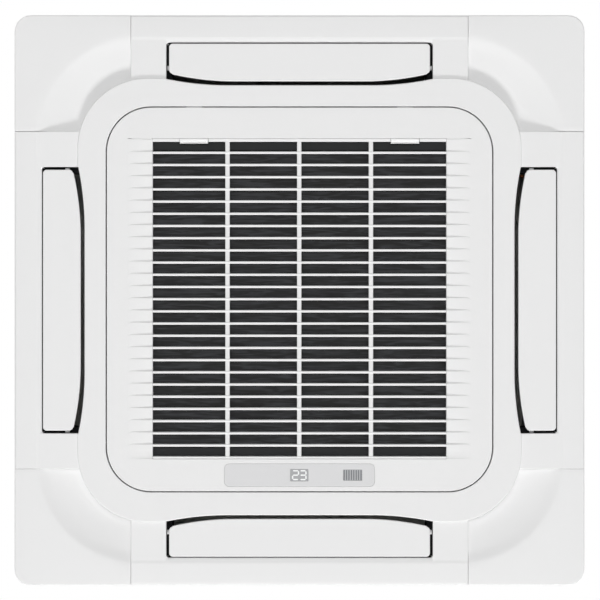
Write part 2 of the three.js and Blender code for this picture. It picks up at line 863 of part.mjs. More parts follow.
const windows = [
  { name: 'digit_window', x: digitX, halfX: digitWidth / 2, halfY: digitHeight / 2 },
  { name: 'receiver_window', x: receiverX, halfX: receiverWidth / 2, halfY: receiverHeight / 2 },
];
const boardLow = ringFace + lensThick + 2 * gap + boardBehind;

function windowBlock({ x, halfX, halfY }, grow, low, high) {
  return slab(roundedRect(halfX + grow, halfY + grow, 1 + grow, x, displayY), low, high, 2);
}

const lens = cut(
  displayCut(0, ringFace, ringFace + lensThick),
  ...windows.map((part) => windowBlock(part, gap, -far, far)),
);
place('display_lens', lens, whiteGloss);
for (const part of windows) {
  place(part.name, windowBlock(part, 0, ringFace, boardLow - gap), windowGrey);
}
const boardHalfX = displayWidth / 2 - boardInsetX;
const boardHalfY = displayHeight / 2 - boardInsetY;

// Display board with the shallow walls that clip it to the door's back.
function displayHousing() {
  const outer = block(
    [-displayWidth / 2 - skin, displayWidth / 2 + skin],
    [displayY - displayHeight / 2 - skin, displayY + displayHeight / 2 + skin],
    [ringFace + doorPlate + gap, boardLow + boardThick],
  );
  const room = block(
    [-boardHalfX, boardHalfX],
    [displayY - boardHalfY, displayY + boardHalfY],
    [-far, boardLow],
  );
  return cut(outer, room);
}

place('display_housing', displayHousing(), boardGreen);

// ---- Air filter ------------------------------------------------------------------------------

const filterMid = -(windowBack + windowFront) / 2;

// Border with crossing ribs; the net lies under the ribs, in the border.
function filterFrame() {
  const top = filterBase + filterDepth;
  const innerX = filterHalfX - filterBorder;
  const innerY = filterHalfY - filterBorder;
  const frame = block(
    [-filterHalfX, filterHalfX], [filterMid - filterHalfY, filterMid + filterHalfY], [filterBase, top],
  );
  const netRoom = block(
    [-innerX, innerX], [filterMid - innerY, filterMid + innerY], [-far, filterBase + netThick + 2 * gap],
  );
  const cellX = (2 * innerX - filterRibsX * filterRib) / (filterRibsX + 1);
  const cellY = (2 * innerY - filterRibsY * filterRib) / (filterRibsY + 1);
  const cells = [];
  for (let i = 0; i <= filterRibsX; i += 1) {
    for (let j = 0; j <= filterRibsY; j += 1) {
      const x = -innerX + i * (cellX + filterRib);
      const y = filterMid - innerY + j * (cellY + filterRib);
      cells.push(block([x, x + cellX], [y, y + cellY], [-far, far]));
    }
  }
  return cut(frame, join(...cells), netRoom);
}

place('filter_frame', filterFrame(), blackPlastic);
const netHalfX = filterHalfX - filterBorder - gap;
const netHalfY = filterHalfY - filterBorder - gap;
const net = block(
  [-netHalfX, netHalfX], [filterMid - netHalfY, filterMid + netHalfY],
  [filterBase + gap, filterBase + gap + netThick],
);
place('filter_net', net, netGrey);

// ---- Seal between panel and body -------------------------------------------------------------

function panelSeal() {
  const outline = octagon(ductOuter + 2 * skin, bodyChamfer);
  const sheetSolid = slab(outline, collarTop + gap, bodyBase - gap);
  const duct = block([-ductHalf, ductHalf], [ductInner, ductOuter], [-far, far]);
  return cut(sheetSolid, onAllSides(duct), slab(roundedSquare(intakeHalf, intakeR), -far, far));
}

place('panel_seal', panelSeal(), darkFoam);

// ---- Casing ----------------------------------------------------------------------------------

// One bent sheet: the straight +Y side and the clipped corner beside it.
function casingSide() {
  const straight = bodyHalf - bodyChamfer;
  const bend = sheet * Math.tan(Math.PI / 8);
  const lean = sheet / Math.SQRT2;
  const strip = polygon([
    [-straight + sheetJoint, bodyHalf],
    [-straight + sheetJoint, bodyHalf - sheet],
    [straight - bend, bodyHalf - sheet],
    [bodyHalf - lean, straight - lean],
    [bodyHalf, straight],
    [straight, bodyHalf],
  ]);
  const wall = slab(strip, bodyBase, bodyTop - sheet - gap);
  const flange = block(
    [-straight + flangeWidth, straight - flangeWidth],
    [bodyHalf - flangeWidth, bodyHalf - sheet / 2],
    [bodyBase, bodyBase + sheet],
  );
  return join(wall, flange);
}

const pipeMid = [(gasY + liquidY) / 2, (gasZ + liquidZ) / 2];
const pipeHalf = [
  Math.abs(gasY - liquidY) / 2 + coverMargin,
  Math.abs(gasZ - liquidZ) / 2 + coverMargin,
];
const pipeWindow = (shrink) => block(
  [0, far],
  [pipeMid[0] - pipeHalf[0] + shrink, pipeMid[0] + pipeHalf[0] - shrink],
  [pipeMid[1] - pipeHalf[1] + shrink, pipeMid[1] + pipeHalf[1] - shrink],
);
const glandHole = (r) => bar(r, 0, far, [0, glandY, glandZ], 'x', 20);
const freshHole = bar(freshR, -far, 0, [0, 0, freshZ], 'x', 32);
const spoutHole = (r) => bar(r, -far, 0, [spoutX, 0, spoutZ], 'y', 20);

const casingCuts = {
  front: [],
  left: [freshHole],
  back: [spoutHole(spoutR + gap)],
  right: [pipeWindow(casingMargin), glandHole(glandR + gap)],
};
sides.forEach((side, i) => {
  const bent = casingSide().rotate([0, 0, 90 * i]);
  place(`casing_side_${side}`, cut(bent, ...casingCuts[side]), galvanised);
});
place('casing_top', slab(bodyOutline(0), bodyTop - sheet, bodyTop), galvanised);

// ---- Hanger brackets -------------------------------------------------------------------------

// Bent plate on a clipped corner: a slotted lug for the rod, a tab for the panel's bolt.
function hangerBracket(sx, sy) {
  const face = (2 * bodyHalf - bodyChamfer) / Math.SQRT2 + gap; // clipped corner from the centre
  const rodOut = (boltPitchX + boltPitchY) / 2 / Math.SQRT2;
  const rodAside = (-sx * sy * (boltPitchX - boltPitchY)) / 2 / Math.SQRT2;
  const wideLow = Math.min(rodAside - bracketWidth / 2, -tabHalf);
  const wideHigh = Math.max(rodAside + bracketWidth / 2, tabHalf);
  const plateTop = lugHeight + bracketAbove;
  const plate = block([face, face + bracketThick], [wideLow, wideHigh], [bodyBase, plateTop]);
  const lugRange = [rodAside - bracketWidth / 2, rodAside + bracketWidth / 2];
  const lug = block([face, face + lugReach], lugRange, [lugHeight, lugHeight + bracketThick]);
  const tabOut = Math.SQRT2 * panelBoltAt;
  const tab = block([face, tabOut + tabHalf], [-tabHalf, tabHalf], [bodyBase, bodyBase + bracketThick]);
  const slotHalf = slotLength / 2 - slotWidth / 2;
  const slotR = slotWidth / 2;
  const low = lugHeight - slotR;
  const high = lugHeight + bracketThick + slotR;
  const slot = join(
    block([rodOut - slotR, rodOut + slotR], [rodAside - slotHalf, rodAside + slotHalf], [low, high]),
    bar(slotR, low, high, [rodOut, rodAside - slotHalf, 0]),
    bar(slotR, low, high, [rodOut, rodAside + slotHalf, 0]),
  );
  const boltHole = bar(panelBoltR + gap, 0, 2 * bodyBase, [tabOut, 0, 0]);
  const bracket = cut(join(plate, lug, tab), slot, boltHole);
  return bracket.rotate([0, 0, THREE.MathUtils.radToDeg(Math.atan2(sy, sx))]);
}

const cornerSigns = [[1, 1], [-1, 1], [-1, -1], [1, -1]];
corners.forEach((corner, i) => {
  place(`hanger_bracket_${corner}`, hangerBracket(...cornerSigns[i]), galvanised);
});

// ---- Insulation and drain pan ----------------------------------------------------------------

const linerOutside = sheet + gap;

function insulationLiner() {
  const low = panTop + gap;
  const shell = cut(
    slab(bodyOutline(linerOutside), low, roofLow + linerRoof),
    slab(bodyOutline(linerOutside + linerWall), -far, roofLow),
    bar(motorR + motorEdge, 0, far, [0, 0, 0], 'z', 40),
  );
  return cut(shell, pipeWindow(casingMargin), glandHole(glandR + gap), spoutHole(spoutR + gap));
}

place('insulation_liner', insulationLiner(), foam);

const plugAt = sumpInner + plugInset;
const troughOut = coilOuter + troughMargin;
const troughIn = coilInner - troughMargin;

function drainPan() {
  const body = join(
    slab(bodyOutline(sheet + gap), bodyBase + panStep, panTop),
    slab(bodyOutline(flangeWidth + 2 * gap), bodyBase, bodyBase + panStep + overlap),
  );
  const trough = cut(
    slab(roundedSquare(troughOut, coilR + coilThick + troughMargin), troughFloor, far),
    slab(roundedSquare(troughIn, coilR - troughMargin), -far, far),
  );
  const sump = block([sumpInner, sumpOuter], [-sumpOuter, -sumpInner], [troughFloor, far]);
  const sumpCorner = slab(bodyOutline(linerOutside + linerWall + sumpMargin), -far, far);
  const hole = troughIn - panLedge - holeMargin;
  const centreHole = slab(roundedSquare(hole, plateCornerR), -far, far);
  const plateSeat = slab(roundedSquare(mouthHalf + gap, plateCornerR), mouthBase - gap, far);
  const duct = block([-ductHalf, ductHalf], [ductInner, ductOuter], [-far, far]);
  const drainHole = bar(plugR + gap, 0, far, [plugAt, -plugAt, 0]);
  const well = sump.intersect(sumpCorner);
  const pan = cut(body, trough, well, centreHole, plateSeat, onAllSides(duct), drainHole);
  const padTop = troughFloor + coilPad;
  const pad = block([-padHalf, padHalf], [coilInner, coilOuter], [troughFloor - overlap, padTop]);
  return join(pan, onAllSides(pad));
}

place('drain_pan', drainPan(), foam);

const plug = join(
  bar(plugR, bodyBase - gap, troughFloor + plugHead, [plugAt, -plugAt, 0]),
  bar(plugR + plugHead, bodyBase - plugHead, bodyBase - gap, [plugAt, -plugAt, 0]),
);
place('drain_plug', plug, rubber);

// ---- Heat exchanger --------------------------------------------------------------------------

const coilLow = troughFloor + coilPad + gap;
const coilTop = roofLow - gap;
const coilMid = (coilInner + coilOuter) / 2;

function heatExchanger() {
  const ring = cut(
    slab(roundedSquare(coilOuter, coilR + coilThick), coilLow, coilTop),
    slab(roundedSquare(coilInner, coilR), -far, far),
  );
  return cut(ring, block([coilCut, far], [-far, -coilCut], [-far, far]));
}

place('heat_exchanger', heatExchanger(), aluminium);

const bendPitch = (coilTop - coilLow) / bendCount;
const coilEndY = -coilCut - gap - endPlateThick;

// Plate across the end of the fin block with its return bends, for the end on the +X side.
function coilEnd() {
  const half = coilThick / 2 + endPlateMargin;
  let end = block(
    [coilMid - half, coilMid + half], [coilEndY, coilEndY + endPlateThick], [coilLow, coilTop],
  );
  const bend = cut(
    solid(new THREE.TorusGeometry(bendR, bendTubeR, 5, 12)),
    block([-far, far], [0, far], [-far, far]),
  );
  for (let i = 0; i < bendCount; i += 1) {
    end = join(end, bend.translate([coilMid, coilEndY + overlap, coilLow + bendPitch * (i + 0.5)]));
  }
  return end;
}

place('coil_end_right', coilEnd(), copper);
place('coil_end_back', coilEnd().mirror([1, 1, 0]), copper);

// ---- Refrigerant pipes -----------------------------------------------------------------------

const pipeEnd = bodyHalf + pipeReach;
const headerY = coilEndY - 2 * bendR - headerR;

function gasHeader() {
  const low = coilLow + bendPitch - headerR;
  const high = coilTop - bendPitch + headerR;
  const line = pipe([
    [coilMid, headerY, gasZ],
    [coilMid + gasJog, gasY, gasZ],
    [pipeEnd, gasY, gasZ],
  ], gasR, gasBend, 10);
  let header = join(bar(headerR, low, high, [coilMid, headerY, 0]), line);
  for (let i = 1; i < bendCount; i += 2) {
    const z = coilLow + bendPitch * i;
    header = join(header, bar(bendTubeR, headerY, coilEndY - gap, [coilMid, 0, z], 'y', 8));
  }
  return header;
}

place('gas_header', gasHeader(), copper);

// Distributor, its four thin feeders and the liquid line.
function liquidLine() {
  const largeEnd = -headerY + distributorAt; // from the middle along X
  const y = -coilMid + distributorAside;
  const cone = new THREE.CylinderGeometry(distributorR, liquidR + 1, distributorLength, 16);
  cone.rotateZ(quarter);
  cone.translate(largeEnd + distributorLength / 2, y, liquidZ);
  const start = largeEnd + distributorLength - 1;
  const line = pipe([
    [start, y, liquidZ],
    [start + liquidRun, y, liquidZ],
    [start + liquidRun + liquidJog, liquidY, liquidZ],
    [pipeEnd, liquidY, liquidZ],
  ], liquidR, liquidBend);
  let assembly = join(solid(cone), line);
  for (let i = 0; i < feederCount; i += 1) {
    const z = coilLow + bendPitch * ((bendCount - feederCount) / 2 + i);
    const aside = (i - (feederCount - 1) / 2) * feederPitch;
    const feeder = pipe([
      [largeEnd + feederR, y + aside, liquidZ],
      [-headerY, y + aside, liquidZ],
      [-headerY, -coilMid, z],
      [-coilEndY + gap, -coilMid, z],
    ], feederR, 5, 5, 10);
    assembly = join(assembly, feeder);
  }
  return assembly;
}

place('liquid_pipe', liquidLine(), copper);

function flareNut(r, y, z) {
  const from = pipeEnd - nutLength - nutBack;
  const hex = bar(nutShape * r, from, from + nutLength, [0, y, z], 'x', 6);
  return cut(hex, bar(r + gap, 0, far, [0, y, z], 'x', 20));
}

place('flare_nut_gas', flareNut(gasR, gasY, gasZ), brass);
place('flare_nut_liquid', flareNut(liquidR, liquidY, liquidZ), brass);

const coverLow = bodyHalf + gap;
const pipeCover = cut(
  pipeWindow(0).intersect(block([coverLow, coverLow + coverPlate], [-far, far], [-far, far])),
  bar(gasR + 1, 0, far, [0, gasY, gasZ], 'x', 20),
  bar(liquidR + 1, 0, far, [0, liquidY, liquidZ], 'x', 20),
);
place('pipe_cover_plate', pipeCover, galvanised);

// ---- Bell mouth and fan ----------------------------------------------------------------------

function bellMouth() {
  const steps = 4;
  const arc = (r, flare, from, to) => Array.from({ length: steps + 1 }, (unused, i) => {
    const angle = from + ((to - from) * i) / steps;
    return [r + flare - flare * Math.sin(angle), mouthBase + mouthFlare - flare * Math.cos(angle)];
  });
  const thin = mouthFlare - mouthThick;
  const profile = [
    ...arc(mouthR, mouthFlare, 0, quarter),
    [mouthR, mouthTop],
    [mouthR + mouthThick, mouthTop],
    ...arc(mouthR + mouthThick, thin, quarter, 0),
    [mouthR + mouthFlare, mouthBase],
  ];
  const plate = cut(
    slab(roundedSquare(mouthHalf, plateCornerR), mouthBase, mouthBase + mouthThick),
    bar(mouthR + mouthFlare - overlap, -far, far, [0, 0, 0], 'z', 40),
  );
  return join(plate, turned(profile));
}

place('bell_mouth', bellMouth(), greyPlastic);

const hubDrop = fanTop - hubBase;

function fanWheel() {
  const under = [
    [fanR, fanTop - fanWall],
    [motorR + 2 * motorClear, fanTop - fanWall],
    [motorR + motorClear, fanTop - hubDrop * 0.5],
    [motorR - motorClear, fanTop - hubDrop * 0.75],
    [hubR - 1, fanTop - hubDrop * 0.82],
  ];
  const over = under.map(([r, z]) => [r, z + fanWall]).reverse();
  over[1][0] += fanWall / 2;
  over[2][0] += fanWall;
  over[3][0] += fanWall;
  const back = turned([...under, ...over, under[0]]);
  const hub = bar(hubR, hubBase, fanTop - hubDrop * 0.75, [0, 0, 0], 'z', 24);
  const collar = fanEyeZ + eyeRise;
  const bend = collar + fanWall + shroudTurn / 2;
  const rimLow = collar + shroudRise;
  const shroud = turned([
    [fanEyeR, fanEyeZ],
    [fanEyeR, collar],
    [fanEyeR + shroudTurn, bend],
    [fanR, rimLow],
    [fanR, rimLow + fanWall],
    [fanEyeR + shroudTurn, bend + fanWall],
    [fanEyeR + fanWall, collar],
    [fanEyeR + fanWall, fanEyeZ],
    [fanEyeR, fanEyeZ],
  ]);
  const room = turned([
    [fanEyeR - eyeLap, bend + 2],
    [fanEyeR + shroudTurn, bend + 1],
    [fanR - 1, rimLow + 1],
    [fanR - 1, fanTop - 1],
    [fanEyeR - eyeLap, fanTop - 1],
    [fanEyeR - eyeLap, bend + 2],
  ]);
  let wheel = join(back, hub, shroud);
  for (let i = 0; i < bladeCount; i += 1) {
    const blade = fanBlade().intersect(room);
    wheel = join(wheel, blade.rotate([0, 0, (360 * i) / bladeCount]));
  }
  return cut(wheel, bar(shaftR + gap, 0, far, [0, 0, 0], 'z', 20));
}

// Backward-curved blade: an arc that leans back by bladeSweep from the eye to the rim.
function fanBlade() {
  const steps = 5;
  const eye = fanEyeR - eyeLap;
  const line = (t) => {
    const r = eye + (fanR - eye) * t;
    return new THREE.Vector2(r, 0).rotateAround(new THREE.Vector2(), bladeSweep * t);
  };
  const edge = (shift) => Array.from({ length: steps + 1 }, (unused, i) => {
    const t = i / steps;
    const along = line(t + 0.01).sub(line(t - 0.01)).normalize();
    const point = line(t);
    return [point.x - shift * along.y, point.y + shift * along.x];
  });
  const outline = [...edge(-bladeThick / 2), ...edge(bladeThick / 2).reverse()];
  return slab(polygon(outline), fanEyeZ, fanTop);
}

place('fan_wheel', fanWheel(), greyPlastic);

const motorTop = bodyTop - sheet - motorGap;
const motorLow = motorTop - motorHeight;

function fanMotor() {
  const body = turned([
    [0, motorLow],
    [motorR - motorEdge, motorLow],
    [motorR, motorLow + 0.8 * motorEdge],
    [motorR, motorTop],
    [0, motorTop],
  ]);
  const feet = [90, 210, 330].map((degrees) => bar(
    mountR, motorTop - overlap, bodyTop - sheet - gap, [mountAt, 0, 0], 'z', 14,
  ).rotate([0, 0, degrees]));
  const socket = bar(shaftR + gap, motorLow - 1, motorLow + shaftSocket, [0, 0, 0], 'z', 20);
  return cut(join(body, ...feet), socket);
}

place('fan_motor', fanMotor(), blackPlastic);
const shaftLow = hubBase - nutHeight - threadOut;
const shaft = bar(shaftR, shaftLow, motorLow + shaftSocket - gap, [0, 0, 0], 'z', 20);
place('fan_shaft', shaft, galvanised);
const fanNut = cut(
  bar(1.9 * shaftR, hubBase - gap - nutHeight, hubBase - gap, [0, 0, 0], 'z', 6),
  bar(shaftR + gap, 0, far, [0, 0, 0], 'z', 20),
);
place('fan_nut', fanNut, brass);

// ---- Drainage --------------------------------------------------------------------------------

const nippleZ = troughFloor + nippleRise;
const nippleEnd = pumpX - pumpR - nippleLength;

function drainPump() {
  const low = troughFloor + gap;
  const neck = pumpR - pumpNeck;
  const waist = low + 0.6 * pumpHeight;
  const body = turned([
    [0, low],
    [neck, low],
    [neck, low + 0.15 * pumpHeight],
    [pumpR, low + 0.2 * pumpHeight],
    [pumpR, waist],
    [neck, waist + pumpNeck / 2],
    [neck, low + pumpHeight],
    [0, low + pumpHeight],
  ], 24, pumpX, pumpY);
  return join(body, bar(hoseR - hoseWall, nippleEnd, pumpX, [0, pumpY, nippleZ], 'x', 14));
}

place('drain_pump', drainPump(), whiteGloss);

const hoseEndY = -bodyHalf + 8;
const hosePoints = [
  [nippleEnd - gap, pumpY, nippleZ],
  [spoutX, pumpY, nippleZ],
  [spoutX, pumpY, spoutZ],
  [spoutX, hoseEndY, spoutZ],
];
place('drain_hose', pipe(hosePoints, hoseR, hoseBend, 10, 24), greyPlastic);

const spoutEnd = -bodyHalf - spoutReach;
const spout = cut(
  join(
    bar(spoutR, spoutEnd, -bodyHalf + 24, [spoutX, 0, spoutZ], 'y', 24),
    bar(spoutR + spoutFlange, -bodyHalf - gap - spoutWall, -bodyHalf - gap, [spoutX, 0, spoutZ], 'y', 24),
  ),
  bar(spoutR - spoutWall, -far, 0, [spoutX, 0, spoutZ], 'y', 24),
);
place('drain_spout', spout, whiteGloss);

const floatLow = troughFloor + floatFoot;
const floatStop = floatLow + floatHeight + floatTravel;
const stem = join(
  bar(stemR, troughFloor + gap, floatStop + stemHead, [floatX, floatY, 0]),
  bar(3 * stemR, troughFloor + gap, floatLow - gap, [floatX, floatY, 0]),
  bar(2 * stemR, floatStop + gap, floatStop + stemHead, [floatX, floatY, 0]),
);
place('float_stem', stem, blackPlastic);
const float = cut(
  bar(floatR, floatLow, floatLow + floatHeight, [floatX, floatY, 0], 'z', 20),
  bar(stemR + 2 * gap, 0, far, [floatX, floatY, 0], 'z'),
);
place('float_ring', float, whiteGloss);

// ---- Control box -----------------------------------------------------------------------------

const boxTop = mouthBase - gap;
const boxLow = boxTop - boxDrop;
const boxRange = (grow) => [
  [-boxAt - boxDeep / 2 - grow, -boxAt + boxDeep / 2 + grow],
  [-boxWide / 2 - grow, boxWide / 2 + grow],
];
const controlBox = cut(
  block(...boxRange(0), [boxLow, boxTop]),
  block(...boxRange(-boxSheet), [-far, boxTop - boxSheet]),
);
place('control_box', controlBox, galvanised);
const boxLid = cut(
  block(...boxRange(gap + boxSheet), [boxLow - gap - boxSheet, boxLow + lidRim]),
  block(...boxRange(gap), [boxLow - gap, far]),
);
place('control_box_lid', boxLid, galvanised);

const boardParts = {
  transformer: { x: 0, y: -80, wide: 22, long: 18, tall: 15 },
  relay: { x: -8, y: -40, wide: 16, long: 12, tall: 12 },
  smallRelay: { x: 12, y: -44, wide: 12, long: 10, tall: 9 },
  capacitor: { x: 2, y: 6, wide: 30, long: 24, tall: 16 },
  terminals: { x: -6, y: 62, wide: 20, long: 30, tall: 11 },
};

// Board on four posts under the box's roof, its parts hanging below it.
function mainBoard() {
  const high = boxTop - boxSheet - gap;
  const level = high - postHeight;
  let assembly = block(...boxRange(-boxSheet - boardMargin), [level - boardThick, level]);
  const [rangeX, rangeY] = boxRange(-boxSheet - 2 * boardMargin);
  for (const x of rangeX) {
    for (const y of rangeY) {
      assembly = join(assembly, bar(postR, level - overlap, high, [x, y, 0], 'z', 10));
    }
  }
  const under = level - boardThick + overlap;
  for (const { x, y, wide, long, tall } of Object.values(boardParts)) {
    const centre = -boxAt + x;
    assembly = join(assembly, block(
      [centre - wide / 2, centre + wide / 2], [y - long / 2, y + long / 2], [under - tall, under],
    ));
  }
  return assembly;
}

place('main_board', mainBoard(), boardGreen);

// ---- Casing fittings -------------------------------------------------------------------------

const grommet = cut(
  join(
    bar(glandR, bodyHalf - linerWall, bodyHalf + gap + overlap, [0, glandY, glandZ], 'x', 20),
    bar(glandR + glandFlange, bodyHalf + gap, bodyHalf + gap + skin, [0, glandY, glandZ], 'x', 20),
  ),
  bar(glandBore, 0, far, [0, glandY, glandZ], 'x', 16),
);
place('cable_grommet', grommet, rubber);

const freshBack = -bodyHalf - gap;
const freshFront = freshBack - coverPlate;
const freshHalf = freshPlate / 2;
const freshCover = join(
  block([freshFront, freshBack], [-freshHalf, freshHalf], [freshZ - freshHalf, freshZ + freshHalf]),
  bar(freshR - freshLap, freshFront - freshStep, freshBack - overlap, [0, 0, freshZ], 'x', 32),
);
place('fresh_air_cover', freshCover, galvanised);

export default cassette;
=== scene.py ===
# Ceiling cassette air conditioner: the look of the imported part. Shapes are worked out in
# millimetres in the part's own frame (+Z up, origin in the ceiling's lower plane).
import json
import math
import bmesh
import bpy
import numpy as np
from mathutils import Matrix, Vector

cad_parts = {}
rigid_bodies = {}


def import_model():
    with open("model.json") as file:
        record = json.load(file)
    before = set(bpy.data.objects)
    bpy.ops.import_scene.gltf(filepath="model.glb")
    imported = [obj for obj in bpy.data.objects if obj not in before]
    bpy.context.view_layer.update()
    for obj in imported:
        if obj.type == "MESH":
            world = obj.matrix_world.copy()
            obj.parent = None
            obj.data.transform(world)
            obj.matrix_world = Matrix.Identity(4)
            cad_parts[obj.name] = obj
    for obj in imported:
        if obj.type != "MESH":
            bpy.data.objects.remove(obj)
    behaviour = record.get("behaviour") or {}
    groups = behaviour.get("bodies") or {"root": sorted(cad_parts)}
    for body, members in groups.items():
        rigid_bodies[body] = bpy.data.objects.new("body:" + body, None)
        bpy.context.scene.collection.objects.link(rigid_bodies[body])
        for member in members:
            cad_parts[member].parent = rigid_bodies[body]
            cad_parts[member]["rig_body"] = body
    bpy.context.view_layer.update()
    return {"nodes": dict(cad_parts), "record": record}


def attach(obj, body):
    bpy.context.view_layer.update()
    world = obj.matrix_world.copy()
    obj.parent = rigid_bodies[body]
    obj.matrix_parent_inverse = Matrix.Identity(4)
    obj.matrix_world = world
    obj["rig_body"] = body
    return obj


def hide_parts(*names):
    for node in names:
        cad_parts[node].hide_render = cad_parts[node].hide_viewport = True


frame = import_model()
nodes = frame["nodes"]
mm = 0.001
sides = ["front", "left", "back", "right"]
cornerNames = ["front_right", "front_left", "back_left", "back_right"]


# colours and materials

def colour(code):
    # hex sRGB to linear RGBA
    channels = np.array([int(code[i:i + 2], 16) for i in (1, 3, 5)]) / 255
    linear = np.where(channels <= 0.04045, channels / 12.92, ((channels + 0.055) / 1.055) ** 2.4)
    return (*linear.tolist(), 1.0)


def addNode(tree, kind, settings=None, links=None):
    # one node with its settings (attributes or sockets) and its incoming links
    node = tree.nodes.new(kind)
    for key, value in (settings or {}).items():
        if isinstance(key, str) and hasattr(node, key):
            setattr(node, key, value)
        else:
            node.inputs[key].default_value = value
    for socket, source in (links or {}).items():
        tree.links.new(source, node.inputs[socket])
    return node


# sockets of the colour Mix node, which share their names with its other kinds
mixA, mixB, mixOut = 6, 7, 2


def directRays(tree):
    # 1 for rays from the camera, from mirrors and through glass, which see a plain backdrop
    rays = addNode(tree, "ShaderNodeLightPath")
    seen = rays.outputs["Is Camera Ray"]
    for other in ("Is Glossy Ray", "Is Transmission Ray"):
        seen = addNode(tree, "ShaderNodeMath", {"operation": "MAXIMUM"},
                       {0: seen, 1: rays.outputs[other]}).outputs[0]
    return seen


def finish(name, base, roughness, metallic=0.0, fleck=0.02, fleckSize=30, grain=0.02,
           grainSize=1.2, crystals=False):
    # base colour drifts by the share "fleck" over patches or crystals of fleckSize mm, and a bump
    # of "grain" mm follows the mould's or the mill's texture of grainSize mm
    made = bpy.data.materials.new(name)
    made.use_nodes = True
    tree = made.node_tree
    shader = tree.nodes["Principled BSDF"]
    shader.inputs["Metallic"].default_value = metallic
    if not metallic:
        shader.inputs["IOR"].default_value = 1.5
    place = addNode(tree, "ShaderNodeTexCoord")
    if crystals:
        cells = addNode(tree, "ShaderNodeTexVoronoi",
                        {"Scale": 1 / (fleckSize * mm), "Randomness": 1.0},
                        {"Vector": place.outputs["Object"]})
        share = addNode(tree, "ShaderNodeSeparateColor", None,
                        {"Color": cells.outputs["Color"]}).outputs[0]
    else:
        share = addNode(tree, "ShaderNodeTexNoise", {"Scale": 1 / (fleckSize * mm), "Detail": 3.0},
                        {"Vector": place.outputs["Object"]}).outputs["Fac"]
    low = [c * (1 - fleck) for c in colour(base)[:3]] + [1]
    high = [min(1, c * (1 + fleck)) for c in colour(base)[:3]] + [1]
    tint = addNode(tree, "ShaderNodeMix", {"data_type": "RGBA", mixA: low, mixB: high},
                   {"Factor": share})
    tree.links.new(tint.outputs[mixOut], shader.inputs["Base Color"])
    drift = 0.25 if crystals else 0.08
    rough = addNode(tree, "ShaderNodeMapRange",
                    {"To Min": roughness * (1 - drift), "To Max": roughness * (1 + drift)},
                    {"Value": share})
    tree.links.new(rough.outputs[0], shader.inputs["Roughness"])
    texture = addNode(tree, "ShaderNodeTexNoise", {"Scale": 1 / (grainSize * mm), "Detail": 2.0},
                      {"Vector": place.outputs["Object"]})
    bump = addNode(tree, "ShaderNodeBump", {"Strength": 1.0, "Distance": grain * mm},
                   {"Height": texture.outputs["Fac"]})
    tree.links.new(bump.outputs[0], shader.inputs["Normal"])
    return made


# each one: name, colour, roughness, metallic, fleck, fleckSize, grain, grainSize
# moulded ABS, spark-eroded mould: satin, a soft wide highlight
whiteAbs = finish("mouldedAbsWhite", "#e9e9e9", 0.44, 0, 0.006, 60, 0.006)
# the same ABS from a polished mould
glossAbs = finish("polishedAbsWhite", "#eeeeee", 0.3, 0, 0.006, 40, 0.003)
# milky acrylic, smooth
milkyAcrylic = finish("milkyAcrylic", "#dadadb", 0.18, 0, 0.006, 50, 0.001)
# smoked acrylic in front of a lit display
smokedAcrylic = finish("smokedAcrylic", "#a9aaac", 0.16, 0, 0.01, 20, 0.001)
receiverAcrylic = finish("receiverAcrylic", "#b9babc", 0.2, 0, 0.01, 20, 0.001)
# recycled polypropylene, matt black
blackPp = finish("mouldedPpBlack", "#151618", 0.6, 0, 0.08, 20, 0.02)
# flocked foam on the walls of the air outlets, swallows light
ductFoam = finish("ductFoamDark", "#1b1c1e", 0.9, 0, 0.15, 6, 0.15, 2)
# closed-cell foam strip
sealFoam = finish("sealFoamDark", "#3a3b3e", 0.92, 0, 0.12, 5, 0.2, 2)
# expanded polystyrene: beads of about 4 mm
whiteEps = finish("expandedPolystyrene", "#ecece8", 0.8, 0, 0.03, 5, 0.25, 5)
# hot-dip galvanised sheet: zinc crystals of about 12 mm that catch the light differently
galvanised = finish("galvanisedSheet", "#b2b6b9", 0.36, 1, 0.16, 12, 0.02, 3, crystals=True)
zincPlated = finish("zincPlatedSteel", "#c2c5c6", 0.28, 1, 0.05, 8, 0.01)
finStock = finish("finAluminium", "#cdd0d3", 0.3, 1, 0.05, 10, 0.02)
drawnCopper = finish("drawnCopper", "#c07c52", 0.32, 1, 0.12, 12, 0.01)
turnedBrass = finish("turnedBrass", "#c2a25a", 0.28, 1, 0.06, 8, 0.01)
greyAbs = finish("mouldedAbsGrey", "#8d9093", 0.45, 0, 0.02, 30, 0.01)
motorEnamel = finish("motorEnamelBlack", "#26272a", 0.38, 0, 0.05, 15, 0.02)
fittingAbs = finish("fittingAbsWhite", "#e2e2df", 0.35, 0, 0.01, 20, 0.004)
blackRubber = finish("mouldedRubberBlack", "#1e1f21", 0.72, 0, 0.08, 8, 0.03)
boardLaminate = finish("boardLaminateGreen", "#2c6a45", 0.42, 0, 0.12, 4, 0.02)
digitGlow = finish("digitLightWhite", "#f6f7f7", 0.4, 0, 0.004, 20, 0.001)
stripeGrey = finish("stripeInkGrey", "#77797c", 0.4, 0, 0.01, 20, 0.001)
print("materials made")


# surfaces

def surface(points, closeRows=False, closeColumns=False, facing=None):
    # quads over a grid of points, rows by columns; "facing" turns the faces to that side
    rows, columns = points.shape[:2]
    i, j = np.meshgrid(np.arange(rows if closeRows else rows - 1),
                       np.arange(columns if closeColumns else columns - 1), indexing="ij")
    i, j = i.ravel(), j.ravel()
    below, beside = (i + 1) % rows, (j + 1) % columns
    faces = np.stack([i * columns + j, below * columns + j, below * columns + beside,
                      i * columns + beside], axis=1)
    flat = points.reshape(-1, 3).astype(float)
    if facing is not None:
        a, b, c, d = (flat[faces[:, k]] for k in range(4))
        if np.cross(c - a, d - b).sum(axis=0) @ np.array(facing, float) < 0:
            faces = faces[:, ::-1]
    return flat, faces


